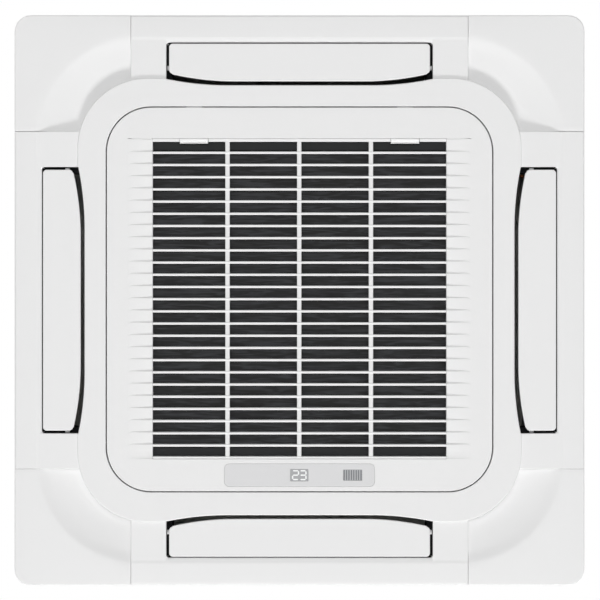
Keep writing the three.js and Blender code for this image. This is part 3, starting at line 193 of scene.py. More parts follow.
def stack(x, y, z):
    # coordinates of any matching shapes become points
    return np.stack(np.broadcast_arrays(x, y, z), axis=-1)


def joined(parts):
    # several parts become one
    points, faces, start = [], [], 0
    for somePoints, someFaces in parts:
        points.append(somePoints)
        faces.append(someFaces + start)
        start += len(somePoints)
    return np.concatenate(points), np.concatenate(faces)


def turned(part, quarters):
    # rotated about Z by quarters of a turn
    c, s = math.cos(quarters * math.pi / 2), math.sin(quarters * math.pi / 2)
    return part[0] @ np.array([[c, s, 0], [-s, c, 0], [0, 0, 1]]), part[1]


def allSides(part):
    return joined([turned(part, k) for k in range(4)])


def mirrored(part):
    return part[0] * [-1, 1, 1], part[1][:, ::-1]


def lofted(levels, facing=None, closeColumns=False):
    # flat loops of equal count joined in turn, each at its height
    points = np.stack([stack(loop[:, 0], loop[:, 1], z) for loop, z in levels], axis=1)
    return surface(points, closeRows=True, closeColumns=closeColumns, facing=facing)


def spokes(angle):
    return np.stack([np.cos(angle), np.sin(angle)], axis=1)


def roundOf(loop):
    # the unit circle in the same directions as a loop's points
    return spokes(np.arctan2(loop[:, 1], loop[:, 0]))


def weld(mesh, flat=None):
    # near points become one; with "flat", faces within that angle merge as well
    work = bmesh.new()
    work.from_mesh(mesh)
    bmesh.ops.remove_doubles(work, verts=work.verts, dist=2e-6)
    if flat:
        bmesh.ops.dissolve_limit(work, angle_limit=math.radians(flat), verts=work.verts,
                                 edges=work.edges)
    else:
        bmesh.ops.dissolve_degenerate(work, edges=work.edges, dist=1e-7)
        if all(len(edge.link_faces) == 2 for edge in work.edges):
            bmesh.ops.recalc_face_normals(work, faces=work.faces)
    work.to_mesh(mesh)
    work.free()


def meshObject(name, part):
    # a part in mm becomes an object in the scene
    points, faces = part
    mesh = bpy.data.meshes.new(name)
    mesh.from_pydata((points * mm).tolist(), [], faces.tolist())
    weld(mesh)
    shown = bpy.data.objects.new(name, mesh)
    bpy.context.scene.collection.objects.link(shown)
    return shown


def addRounding(shown, width, angle, steps=2):
    rounding = shown.modifiers.new("rounding", "BEVEL")
    rounding.width = width * mm
    rounding.segments = steps
    rounding.limit_method = "ANGLE"
    rounding.angle_limit = math.radians(angle)
    rounding.use_clamp_overlap = True


def baked(shown):
    # modifiers become the mesh
    evaluated = shown.evaluated_get(bpy.context.evaluated_depsgraph_get())
    mesh = bpy.data.meshes.new_from_object(evaluated)
    shown.modifiers.clear()
    shown.data = mesh


def piece(name, part, material, body, slot, replaces=(), wall=0, round=0, sharp=38, cut=None):
    # a part given a wall, cut by another part, rounded along its edges, dressed and placed
    shown = meshObject(name, part)
    tool = meshObject("cutter", cut) if cut else None
    if wall:
        thick = shown.modifiers.new("wall", "SOLIDIFY")
        thick.thickness = wall * mm
        thick.offset = -1
        thick.use_even_offset = True
    if tool:
        hole = shown.modifiers.new("cut", "BOOLEAN")
        hole.operation = "DIFFERENCE"
        hole.solver = "EXACT"
        hole.use_self = True
        hole.object = tool
    if round:
        addRounding(shown, round, sharp)
    if shown.modifiers:
        baked(shown)
    if tool:
        bpy.data.objects.remove(tool)
    dress(shown, material, body, slot, replaces, 50 if round else sharp)


def housed(name, part, material, slot, *stands, **more):
    piece(name, part, material, "housing", slot, stands, **more)


def onDoor(name, part, material, slot, *stands, **more):
    piece(name, part, material, "grille_door", slot, stands, **more)


def dress(shown, material, body, slot, replaces, sharp):
    # smooth shading that stays crisp at folds, one material, its body and what it stands for
    mesh = shown.data
    mesh.polygons.foreach_set("use_smooth", [True] * len(mesh.polygons))
    mesh.set_sharp_from_angle(angle=math.radians(sharp))
    mesh.materials.clear()
    mesh.materials.append(material)
    weighted = shown.modifiers.new("normals", "WEIGHTED_NORMAL")
    weighted.keep_sharp = True
    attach(shown, body)
    if replaces:
        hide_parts(*replaces)


def softened(node, material, width=0.5):
    # a CAD solid with its edges broken, standing for its node
    source = nodes[node]
    shown = source.copy()
    shown.data = source.data.copy()
    shown.name = node + "_soft"
    bpy.context.scene.collection.objects.link(shown)
    for key in list(shown.keys()):
        if key.startswith("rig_"):
            del shown[key]
    shown.parent = None
    weld(shown.data, 0.6)
    if width:
        addRounding(shown, width, 32)
        baked(shown)
    slot = next(s["material_slot"] for s in frame["record"]["subparts"] if s["node"] == node)
    dress(shown, material, source["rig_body"], slot, (node,), 40)


def smoothMin(a, b, soft):
    # the lower of two values, with a rounded change-over "soft" wide
    return (a + b - np.sqrt((a - b) ** 2 + soft ** 2)) / 2


def smoothMax(a, b, soft):
    return (a + b + np.sqrt((a - b) ** 2 + soft ** 2)) / 2


def edgeArc(radius, steps=4):
    # from a wall to a face: distance in from the wall, and depth still missing to the face
    angle = np.linspace(0, math.pi / 2, steps + 1)
    return radius * (1 - np.cos(angle)), radius * (1 - np.sin(angle))


def roundedLoop(half, corner, perCorner=12, perSide=4, centre=(0, 0), halfY=None):
    # a rounded rectangle, anticlockwise from the middle of its right side, with its normals
    halfY = half if halfY is None else halfY
    points, normals = [], []
    for k in range(4):
        sx, sy = [(1, 1), (-1, 1), (-1, -1), (1, -1)][k]
        angle = np.radians(90 * k + np.linspace(0, 90, perCorner + 1))
        middle = np.array([sx * (half - corner), sy * (halfY - corner)])
        around = np.stack([np.cos(angle), np.sin(angle)], axis=1)
        points.append(middle + corner * around)
        normals.append(around)
        nextMiddle = np.array([[-1, 1], [-1, -1], [1, -1], [1, 1]][k]) * [half - corner,
                                                                          halfY - corner]
        share = np.linspace(0, 1, perSide + 1)[1:-1, None]
        last = points[-1][-1]
        first = nextMiddle + corner * around[-1]
        points.append(last + (first - last) * share)
        normals.append(np.repeat(around[-1:], len(share), axis=0))
    return np.concatenate(points) + np.array(centre), np.concatenate(normals)


def lathe(profile, centre=(0, 0, 0), steps=48, axis="z"):
    # a profile of (radius, height) turned about an axis
    angle = np.linspace(0, 2 * math.pi, steps, endpoint=False)
    radius = np.array([p[0] for p in profile], float)
    height = np.array([p[1] for p in profile], float)
    x = np.cos(angle)[:, None] * radius
    y = np.sin(angle)[:, None] * radius
    z = np.broadcast_to(height, x.shape)
    order = {"z": (x, y, z), "x": (z, x, y), "y": (y, z, x)}[axis]
    return surface(stack(*order) + np.array(centre, float), closeRows=True)


def closedLathe(profile, centre=(0, 0, 0), steps=72, axis="z"):
    # the same for a profile that closes on itself clear of the axis
    points, _ = lathe(profile, centre, steps, axis)
    return surface(points.reshape(steps, len(profile), 3), closeRows=True, closeColumns=True)


def tube(path, radius, sides=20):
    # a circle carried along a path without twist; both ends closed to a point
    path = np.array(path, float)
    ahead = np.gradient(path, axis=0)
    ahead /= np.linalg.norm(ahead, axis=1)[:, None]
    first = np.array([0, 0, 1.0]) if abs(ahead[0][2]) < 0.9 else np.array([1.0, 0, 0])
    across = [np.cross(ahead[0], first)]
    for step in ahead[1:]:
        across.append(across[-1] - step * (across[-1] @ step))
    across = np.array([a / np.linalg.norm(a) for a in across])
    up = np.cross(ahead, across)
    angle = np.linspace(0, 2 * math.pi, sides, endpoint=False)
    radius = np.broadcast_to(np.asarray(radius, float), (len(path),))
    ring = (across[:, None] * np.cos(angle)[None, :, None] + up[:, None]
            * np.sin(angle)[None, :, None])
    points = path[:, None] + ring * radius[:, None, None]
    ends = [np.repeat(path[:1, None], sides, axis=1), points,
            np.repeat(path[-1:, None], sides, axis=1)]
    return surface(np.concatenate(ends), closeColumns=True)


def bentPath(corners, bend, steps=8):
    # straight runs with each corner rounded by a quadratic curve
    corners = [np.array(c, float) for c in corners]
    path = [corners[0]]
    share = np.linspace(0, 1, steps + 1)[:, None]
    for before, corner, after in zip(corners, corners[1:], corners[2:]):
        start = corner + (before - corner) / np.linalg.norm(before - corner) * bend
        end = corner + (after - corner) / np.linalg.norm(after - corner) * bend
        path.extend(list((1 - share) ** 2 * start + 2 * share * (1 - share) * corner + share ** 2
                         * end))
    path.append(corners[-1])
    return np.array(path)


# panel frame

panel = dict(half=475.0, corner=26.0, lip=24.4, crest=438.6, barDepth=26.0, padDepth=25.2,
             ringDepth=29.0, ringHalf=369.7, ringCorner=117.0, edge=1.2, topGap=0.3,
             opening=322.6, openingCorner=76.0, frontShare=0.9914, ledgeHalf=285.0,
             ledgeCorner=40.0, ledgeZ=4.0, collarZ=14.0)
outlet = dict(half=222.0, outer=429.4, inner=357.9, rise=10.6, flat=120.0, corner=5.0, top=3.0,
              ductHalf=215.0, ductInner=345.0, ductOuter=398.0)
cover = dict(inner=281.4, seam=0.5, dish=175.0, centre=263.0, slopeStart=159.0, slopeDepth=20.0,
             root=12.0, rootRise=4.5, rootRadius=117.0)
barHalf = cover["inner"] - cover["seam"]
ringMiddle = panel["ringHalf"] - panel["ringCorner"]  # centre of the ring's corner arc
padStart = 424.5  # from here out an end pad follows the outlet's edge


def crestDepth(v):
    # both sides of the crest: a rounded shoulder towards the outlet, and a band that falls
    # away outside with a slope that grows towards the edge
    inside = panel["crest"] - v
    return panel["barDepth"] - np.where(inside > 0, inside * (0.11 + 0.0155 * inside),
                                        -inside * (0.012 - 0.0008 * inside))


bandV = np.array([431, 432.5, 434.1, 436, 437.4, 438.3, 438.6, 439, 440, 443, 448, 454, 460, 466,
                  470, 472])
# the band, then the edge's fillet, its wall and the rim against the ceiling
bandProfile = np.concatenate([np.stack([bandV, crestDepth(bandV)], axis=1), [
    (473.2, 24.2), (474.1, 23.4), (474.7, 22.4), (475.0, 21.2), (475.0, 0.6), (474.8, 0.15),
                                                                             (474.4, 0.0),
    (463.0, 0.0)]])


def bow(u):
    # an outlet's inner edge: straight in the middle, curving outwards to its ends
    reach = np.maximum(0, np.abs(u) - outlet["flat"]) / (outlet["half"] - outlet["flat"])
    return outlet["inner"] + outlet["rise"] * reach ** 2


def sideBar():
    # strip beyond the outlet: its inner wall follows the outlet's rounded corners
    across, missing = edgeArc(panel["edge"])
    turn = np.radians(np.linspace(90, 0, 7))
    cornerU = outlet["half"] - outlet["corner"] + outlet["corner"] * np.sin(turn)
    cornerV = outlet["outer"] - outlet["corner"] + outlet["corner"] * np.cos(turn)
    u = np.concatenate([-cornerU, np.linspace(-200, 200, 9), cornerU[::-1]])
    v0 = np.concatenate([cornerV, np.full(9, outlet["outer"]), cornerV[::-1]])
    count = len(bandProfile)
    v = np.concatenate([v0[:, None] + np.concatenate([[0], across])[None],
                        np.broadcast_to(bandProfile[:, 0], (len(u), count))], axis=1)
    shoulder = crestDepth(np.maximum(v0, outlet["outer"]))[:, None] - missing[None]
    depth = np.concatenate([np.full((len(u), 1), outlet["top"]), shoulder,
                            np.broadcast_to(bandProfile[:, 1], (len(u), count))], axis=1)
    strip = surface(stack(u[:, None], v, -depth), facing=(0, 0, -1))
    # end pad: its level runs into the shoulder, less what the rounded edges take away
    u = np.concatenate([[outlet["half"]], outlet["half"] + across, [240, 262],
                        (barHalf - across)[::-1], [barHalf]])
    lost = np.concatenate([[0], missing, [0, 0], missing[::-1], [0]])
    rise = np.sqrt(np.maximum(0, panel["ringCorner"] ** 2 - (u - ringMiddle) ** 2))
    start = np.where(u > ringMiddle, ringMiddle + rise, panel["ringHalf"]) - 1
    fixed = np.array([380.0, 400.0, padStart - 0.1, padStart, padStart + 1.1, outlet["outer"]])
    v = np.concatenate([start[:, None], np.broadcast_to(np.concatenate([fixed, bandProfile[:, 0]]),
                                                       (len(u), 6 + count))], axis=1)
    level = np.concatenate([np.full(7, panel["padDepth"]), bandProfile[:, 1]])
    inside = np.concatenate([[0], fixed, bandProfile[:, 0]]) < panel["crest"]
    level[inside] = np.maximum(level[inside], panel["padDepth"])
    depth = np.maximum(level[None] - lost[:, None], 0)
    depth[0] = outlet["top"]
    depth[-1] = np.minimum(panel["topGap"], level)
    beyond = v[0] > padStart - 0.05
    depth[:2, beyond] = np.where(inside, crestDepth(np.maximum(v[0], outlet["outer"])),
                                 level)[beyond]
    depth[2:6, beyond] = level[beyond]
    pad = surface(stack(u[:, None], v, -depth), facing=(0, 0, -1))
    return joined([strip, pad, mirrored(pad)])


def ringSide(arcSteps=16):
    # one side of the centre ring, from corner to corner
    around = spokes(np.radians(np.linspace(135, 90, arcSteps)))
    straight = np.array([-240.0, -222.2])
    u = np.concatenate([np.linspace(-222, -120, 12), [0], np.linspace(120, 222, 12)])
    up = np.array([0.0, 1.0])

    def loop(half, corner, bowed):
        centre = np.array([-(half - corner), half - corner])
        arcPoints = centre + corner * around
        line = np.stack([straight, np.full(2, half)], axis=1)
        middle = np.stack([u, bow(u) if bowed else np.full(len(u), half)], axis=1)
        other = lambda pts: pts[::-1] * [-1, 1]
        return np.concatenate([arcPoints, line, middle, other(line), other(arcPoints)[:-1]])

    outer = loop(panel["ringHalf"], panel["ringCorner"], True)
    inner = loop(panel["opening"], panel["openingCorner"], False)
    ledge = loop(panel["ledgeHalf"], panel["ledgeCorner"], False)
    count = len(u) + 2 * len(straight)
    normals = np.concatenate([around, np.repeat(up[None], count, axis=0),
                              (around[::-1] * [-1, 1])[:-1]])
    top = np.full(len(outer), panel["topGap"])
    middle = slice(len(around) + 2, len(around) + 2 + len(u))
    top[middle] = outlet["top"]
    return outer, inner, ledge, normals, top


def frontDrawnIn(y):
    # the door and its opening reach a little less far on the display's side
    return np.where(y > 0, y * panel["frontShare"], y)


def centreRing():
    # the raised ring round the door, its opening and the ledge above the door
    outer, inner, ledge, normals, top = (np.concatenate(parts) for parts in zip(*[
        [turnPoints(part, k) if part.ndim == 2 else part
         for part in ringSide()] for k in range(4)]))
    inner[:, 1] = frontDrawnIn(inner[:, 1])
    acrossOut, missingOut = edgeArc(2.2, 5)
    acrossIn, missingIn = edgeArc(0.9, 3)
    depth = panel["ringDepth"]
    levels = [(outer, -top)] + [(outer - normals * d, h - depth) for d,
                                h in zip(acrossOut, missingOut)]
    levels += [(inner + normals * d, h - depth) for d, h in zip(acrossIn[::-1], missingIn[::-1])]
    levels += [(inner, panel["ledgeZ"]), (ledge, panel["ledgeZ"]), (ledge, panel["collarZ"])]
    return lofted(levels, (0, 0, -1))


def turnPoints(points, quarters):
    # rotated the same way as turned(), but each later side follows the one before clockwise
    c, s = math.cos(-quarters * math.pi / 2), math.sin(-quarters * math.pi / 2)
    return points @ np.array([[c, s], [-s, c]])


def outletLoops():
    # outline of an outlet in the panel and the duct's rectangle, point for point
    half, flat, ductHalf = outlet["half"], outlet["flat"], outlet["ductHalf"]
    u = np.concatenate([np.linspace(-half, -flat, 9), [0], np.linspace(flat, half, 9)])
    across = np.concatenate([u, u[::-1]])
    level = lambda v: np.full(len(u), v)
    outline = np.stack([across, np.concatenate([bow(u), level(outlet["outer"])])], axis=1)
    duct = [level(outlet["ductInner"]), level(outlet["ductOuter"])]
    return outline, np.stack([across * ductHalf / half, np.concatenate(duct)], axis=1)


def outletShelf():
    # flange from an outlet in the panel to its duct, and the duct's collar
    outline, duct = outletLoops()
    top = -outlet["top"]
    return lofted([(outline, top), (duct, top), (duct, panel["collarZ"])], (0, 0, -1))


def outletLining():
    # dark foam sheet on the outlet's walls, from just behind the vane up into the duct
    outline, duct = outletLoops()
    middle = outline.mean(axis=0)
    inside = middle + (outline - middle) * [0.9955, 0.975]
    ductInside = middle + (duct - middle) * [0.993, 0.96]
    levels = [(inside, -21.0), (inside, -4.2), (ductInside, -4.2), (ductInside, 40.0)]
    return lofted(levels, (0, 0, -1))


housed("panelBars", allSides(sideBar()), whiteAbs, "panel_plastic", "panel_frame", wall=2.6)
housed("panelRing", centreRing(), whiteAbs, "panel_plastic", "panel_frame", wall=2.4)
housed("panelOutlets", allSides(outletShelf()), whiteAbs, "panel_plastic", "panel_frame", wall=2.4)
housed("outletLinings", allSides(outletLining()), ductFoam, "dark_foam", wall=0.8)


def cornerWeb():
    # flat plate behind a corner cover
    x = np.linspace(278, 440, 6)
    return surface(stack(x[:, None], x[None], -0.2), facing=(0, 0, 1))


housed("panelWebs", allSides(cornerWeb()), whiteAbs, "panel_plastic", "panel_frame", wall=2.8,
       round=0.6)


# corner covers

def cornerCover():
    # spokes from the ring's arc to the panel's edge; the depth is a shallow cone that comes
    # forward away from the ring, a steeper slope up to the dish's arc, then the convex band
    centre = cover["centre"]
    share = np.linspace(0, 1, 61)
    ringR = panel["ringCorner"] + cover["seam"]
    low = math.asin((cover["inner"] - ringMiddle) / ringR)
    angle = (math.pi / 2 - low) + share * (2 * low - math.pi / 2)
    start = ringMiddle + ringR * spokes(angle)
    reach = panel["half"] - centre
    skew = math.atan2(cover["inner"] - centre, reach)
    angle = (math.pi / 2 - skew) + share * (2 * skew - math.pi / 2)
    way = spokes(angle)
    end = centre + way * edgeReach(way)[:, None]
    t = np.concatenate([np.linspace(0, 0.02, 3), np.linspace(0.05, 0.35, 8),
                        np.linspace(0.38, 0.72, 26), np.linspace(0.75, 0.97, 8),
                        np.linspace(0.978, 1, 6)])
    points = start[:, None] + (end - start)[:, None] * t[None, :, None]
    offset = points - centre
    radius = np.linalg.norm(offset, axis=2)
    limit = edgeReach(offset / radius[..., None])
    sweep = np.abs(np.sin(2 * np.arctan2(offset[..., 1], offset[..., 0])))
    root = cover["root"] + cover["rootRise"] * (1 - sweep)
    cone = root + (radius - cover["rootRadius"]) * (cover["slopeDepth"] - root) / (
        cover["slopeStart"] - cover["rootRadius"])
    slope = cover["slopeDepth"] + (radius - cover["slopeStart"]) * (panel["barDepth"]
                                                                    - cover["slopeDepth"]) / (
        cover["dish"] - cover["slopeStart"])
    share = np.clip((radius - cover["dish"]) / (limit - cover["dish"]), 0, 1)
    bevel = panel["barDepth"] + 0.3 - (panel["barDepth"] + 0.3 - panel["lip"]) * share * (0.5 + 0.5
                                                                                          * share)
    depth = smoothMin(smoothMax(cone, slope, 1.6), bevel, 1.0 + 2.4 * (1 - sweep))
    edge = np.clip(limit - radius, 0, 2.4) / 2.4
    depth = depth - 2.4 * (1 - np.sqrt(1 - (1 - edge) ** 2))
    seamEdge = np.minimum(points[..., 0], points[..., 1]) - cover["inner"]
    depth = depth - 0.5 * np.clip(1 - seamEdge / 0.5, 0, 1)
    face = stack(points[..., 0], points[..., 1], -depth)
    # walls up to the ceiling side all round
    face = np.concatenate([face[:1], face, face[-1:]])
    face[0, :, 2] = face[-1, :, 2] = -panel["topGap"]
    face = np.concatenate([face[:, :1], face, face[:, -1:]], axis=1)
    face[:, 0, 2] = face[:, -1, 2] = -panel["topGap"]
    return surface(face, facing=(0, 0, -1))


def edgeReach(way):
    # distance from the dish's centre to the panel's rounded outer edge along a direction
    reach = panel["half"] - cover["centre"]
    flat = reach / np.max(way, axis=-1)
    hub = reach - panel["corner"]
    along = way.sum(axis=-1) * hub
    arc = along + np.sqrt(np.maximum(0, along ** 2 - 2 * hub ** 2 + panel["corner"] ** 2))
    spot = way * flat[..., None]
    inCorner = np.min(spot, axis=-1) > hub
    return np.where(inCorner, arc, flat)


oneCover = cornerCover()
for quarter, name in enumerate(cornerNames):
    housed("cornerCover_" + name, turned(oneCover, quarter), whiteAbs, "panel_plastic",
           "corner_cover_" + name, wall=2.6)
print("panel and corner covers made")

# vanes

vane = dict(half=217.3, outer=427.4, inner=364.5, rise=13.1, flat=108.0, corner=6.0,
            face=26.0, axisV=388.0, axisZ=-12.0, armAt=203.3, armWidth=3.0)


def vaneOutline(count=10):
    # outline of a vane, anticlockwise, with outward normals worked out from its neighbours
    half, r = vane["half"], vane["corner"]
    curve = lambda u: vane["inner"] + vane["rise"] * (
        np.maximum(0, np.abs(u) - vane["flat"]) / (half - vane["flat"])) ** 2
    u = np.concatenate([np.linspace(-half + r, -vane["flat"], count), [0],
                        np.linspace(vane["flat"], half - r, count)])
    inner = np.stack([u, curve(u)], axis=1)
    turn = np.radians(np.linspace(0, 90, 6))
    innerEnd = np.stack([half - r + r * np.sin(turn), curve(half) + r - r * np.cos(turn)], axis=1)
    outerEnd = np.stack([half - r + r * np.cos(turn), vane["outer"] - r + r * np.sin(turn)], axis=1)
    right = np.concatenate([innerEnd[1:], outerEnd])
    left = right[::-1] * [-1, 1]
    top = np.stack([np.linspace(half - r, -half + r, 9)[1:-1], np.full(7, vane["outer"])], axis=1)
    loop = np.concatenate([inner, right, top, left])
    along = np.roll(loop, -1, axis=0) - np.roll(loop, 1, axis=0)
    normals = np.stack([along[:, 1], -along[:, 0]], axis=1)
    return loop, normals / np.linalg.norm(normals, axis=1)[:, None]


def vanePlate():
    # shallow tray: rounded edge, flat face, turned-up rim and an inner face
    loop, normals = vaneOutline()
    across, missing = edgeArc(1.4, 5)
    profile = [(0, -vane["face"] + 4.2)] + [(-d, -vane["face"] + m) for d,
                                            m in zip(across, missing)]
    rim = lofted([(loop + normals * out, z) for out, z in profile], (0, 0, -1))
    spine = np.stack([np.clip(loop[:, 0], -190, 190), np.full(len(loop), 397.0)], axis=1)
    inner = loop - normals * across[-1]
    share = np.array([0, 0.04, 0.3, 0.7, 1])[None, :, None]
    flat = inner[:, None] + (spine - inner)[:, None] * share
    face = surface(stack(flat[..., 0], flat[..., 1], -vane["face"]), closeRows=True,
                   facing=(0, 0, -1))
    return joined([rim, face])


def vaneArm(x):
    # ear with a round head about the hinge axis, and the pivot through it
    angle = np.radians(np.linspace(-20, 200, 23))
    y = vane["axisV"] + 8 * np.cos(angle)
    z = vane["axisZ"] + 8 * np.sin(angle)
    outline = np.stack([np.concatenate([[vane["axisV"] + 11], y, [vane["axisV"] - 11]]),
                        np.concatenate([[-vane["face"] + 2], z, [-vane["face"] + 2]])], axis=1)
    middle = outline.mean(axis=0)
    offsets = [(-vane["armWidth"] / 2, 0), (-vane["armWidth"] / 2, 1), (vane["armWidth"] / 2, 1),
               (vane["armWidth"] / 2, 0)]
    loops = [stack(np.full(len(outline), x + dx), *(middle + (outline - middle) * k).T) for dx,
             k in offsets]
    return surface(np.stack(loops), closeColumns=True)


oneVane = vanePlate()
pivot = lathe([(0, -225), (3.6, -225), (4, -224.5), (4, -201), (0, -201)],
              (0, vane["axisV"], vane["axisZ"]), 24, "x")
ears = joined([vaneArm(-vane["armAt"]), vaneArm(vane["armAt"]), pivot, mirrored(pivot)])
ribs = joined([lathe([(0, -205), (2.2, -205), (2.2, 205), (0, 205)], (0, v, -22.5), 12, "x")
               for v in (380, 404)])
for quarter, side in enumerate(sides):
    piece("vane_plate_" + side, turned(oneVane, quarter), whiteAbs, "vane_" + side, "vane_plastic",
          ("vane_" + side,), wall=2.2)
    piece("vane_ears_" + side, turned(joined([ears, ribs]), quarter), whiteAbs, "vane_" + side,
          "vane_plastic", ("vane_" + side,))
print("vanes made")

# intake grille door

door = dict(half=320.7, corner=74.2, depth=29.0, edge=1.2, plate=3.0, back=19.0, windowX=244.4,
            gillX=285.6, first=-268.4, last=264.4, pitch=20.3, rows=27, step=2.2,
            barWidth=7.4, columnAt=(-119.9, -0.5, 118.9))
latch = dict(at=175.7, half=23.4, far=-269.0, face=29.0)
lens = dict(halfX=125.0, halfY=18.9, y=291.1, corner=8.0)
hinge = dict(y=300.5, z=-27.0, at=200.0, span=22.0, pin=1.0, head=1.9, barrel=3.4, width=16.0,
             boss=3.4, bossLow=-4.0, bossTop=4.6)


def doorPlate():
    # frame of the door between its rounded outline and the straight field of slats and gills
    outline, normals = roundedLoop(door["half"], door["corner"], 16, 9)
    outline[:, 1] = frontDrawnIn(outline[:, 1])
    across, missing = edgeArc(door["edge"], 4)
    depth = door["depth"]
    rimTop = -door["back"]
    low, high = door["first"], door["last"]
    hole = np.stack([np.clip(outline[:, 0] * 1.35, -door["gillX"], door["gillX"]),
                     np.clip(outline[:, 1] * 1.35, low - 0.9, high)], axis=1)
    loops = [(outline - normals * 3, rimTop), (outline, rimTop), (outline, -depth + door["edge"])]
    loops += [(outline - normals * d, m - depth) for d, m in zip(across, missing)]
    loops += [(hole, -depth), (hole, -depth + door["plate"]),
              (outline - normals * 3, -depth + door["plate"])]
    return lofted(loops, closeColumns=True)


def gills():
    # wedge steps beside the slats: each row starts proud at its far edge and falls back to the
    # next one, by a height that fades out towards the door's edge
    t = np.linspace(0, 1, 15)
    x = door["windowX"] + 1.5 + (door["gillX"] - door["windowX"] - 1.5) * t
    height = door["step"] * (1 - t) ** 0.8
    rows = np.arange(door["rows"] - 1)
    share = np.array([0, 0.015, 0.06, 0.11, 0.5, 1.0])
    fall = np.array([1.0, 0.35, 0.03, 0.0, 0.42, 1.0])
    y = door["first"] + door["pitch"] * (rows[:, None] + share[None]).ravel()
    y = np.append(y, door["last"])
    fallen = np.append(np.tile(fall, len(rows)), 1.0)
    z = -door["depth"] + fallen[:, None] * height[None]
    droop = 2.6 * np.clip((t - 0.8) / 0.2, 0, 1) ** 2
    fade = np.clip((door["last"] - y) / door["pitch"], 0, 1) * np.clip((y - door["first"]) / 1, 0,
                                                                       1)
    yy = y[:, None] + droop[None] * fade[:, None]
    z[0] = -door["depth"]
    z[-1] = -door["depth"]
    # rounded edge into the window
    across, missing = edgeArc(1.5, 5)
    grid = stack(x[None], yy, z)
    edges = [stack(door["windowX"] + d, yy[:, 0], z[:, 0] + m) for d, m in zip(across, missing)]
    wallTop = stack(np.full(len(y), door["windowX"]), yy[:, 0], -door["back"])
    grid = np.concatenate([np.stack([wallTop, *edges[:-1]], axis=1), grid], axis=1)
    return surface(grid, facing=(0, 0, -1))


def slats():
    # one slat: a rounded nose at its far edge, a face that leans back, and a tapering web
    face = -door["depth"]
    profile = np.array([(0.0, -face - 10), (0.0, -face - 1.2), (0.25, -face - 0.45),
                        (0.9, -face - 0.03), (1.6, -face), (3.6, -face - 0.3), (4.5, -face - 0.75),
                        (5.0, -face - 1.6), (4.4, -face - 5.5), (3.9, -face - 10)])
    y = door["first"] + door["pitch"] * np.arange(door["rows"])[:,
                                                                None] + 0.75 + 0.8 * profile[None,
                                                                                             :, 0]
    y[0] = door["first"] - 0.8 + 1.1 * profile[:, 0]
    edge, room = door["windowX"], latch["half"] + 0.9
    inside, outside = latch["at"] - room, latch["at"] + room
    spans = [(0, -edge, -outside), (0, -inside, inside), (0, outside, edge)]
    spans += [(row, -edge, edge) for row in range(1, door["rows"])]
    return joined([surface(stack(np.array([[a], [b]]), y[row][None], -profile[None, :, 1]),
                           closeColumns=True)
                   for row, a, b in spans])


def columnBars():
    # upright bars behind the slats' noses, with rounded edges
    across, missing = edgeArc(1.4, 4)
    width = door["barWidth"]
    d = np.concatenate([[0], across, (width - across)[::-1], [width]]) - width / 2
    z = np.concatenate([[-door["back"]], missing - door["depth"] + 0.7,
                        (missing - door["depth"] + 0.7)[::-1], [-door["back"]]])
    y = np.array([door["first"] + 1, door["last"] - 1])
    return joined([surface(stack(x + d[None], y[:, None], z[None]), closeColumns=True)
                   for x in door["columnAt"]])


def flatPlate(outline, normals, low, high, edge, steps=3):
    # a plate with rounded edges between two heights; its flat sides close to a spine
    across, missing = edgeArc(edge, steps)
    loops = [(outline - normals * d, low + m) for d, m in zip(across[::-1], missing[::-1])]
    loops += [(outline - normals * d, high - m) for d, m in zip(across, missing)]
    middle = outline.mean(axis=0)
    reach = np.abs(outline - middle).max(axis=0)
    spine = middle + (outline - middle) * ([0.8, 0] if reach[0] > reach[1] else [0, 0.8])
    return lofted([(spine, low)] + loops + [(spine, high)])


lensOutline, lensNormals = roundedLoop(lens["halfX"] + 0.3, lens["corner"] + 0.3, 8, 4,
                                       (0, lens["y"]), lens["halfY"] + 0.3)


def prism(loop, low, high):
    # a convex loop between two heights, its ends closed to their middles
    middle = np.repeat(loop.mean(axis=0)[None], len(loop), axis=0)
    return lofted([(middle, low), (loop, low), (loop, high), (middle, high)])


def cutBlock(x, y, z):
    # a box between two limits along each axis
    return prism(np.array([(x[0], y[0]), (x[1], y[0]), (x[1], y[1]), (x[0], y[1])]), *z)


def hingeCuts():
    # room in the plate for the lens, and for each bail's bar and the swing of its two uprights
    parts = [flatPlate(lensOutline, lensNormals, cutLow, cutHigh, 0.01, 1)]
    reach = 1.4  # half width of a cut: the wire's radius and its play
    near, far = hinge["y"] - reach, hinge["y"] + reach
    for x in (-hinge["at"], hinge["at"]):
        parts.append(cutBlock((x - 12.4, x + 12.4), (near, far), (hinge["z"] - reach, cutHigh)))
        for at in (x - hinge["span"] / 2, x + hinge["span"] / 2):
            parts.append(cutBlock((at - reach, at + reach), (far - 0.1, 330),
                                  (hinge["z"] - reach + 0.01, cutHigh)))
    return joined(parts)


cutLow, cutHigh = -40, -10  # heights clear of the door's face and of its back
onDoor("grilleDoor", doorPlate(), whiteAbs, "panel_plastic", "intake_grille", cut=hingeCuts())
onDoor("grilleGills", joined([gills(), mirrored(gills())]), whiteAbs, "panel_plastic",
       "intake_grille", wall=1.6)
onDoor("grilleSlats", joined([slats(), columnBars()]), whiteAbs, "panel_plastic", "intake_grille")
print("grille made")

# latches, display

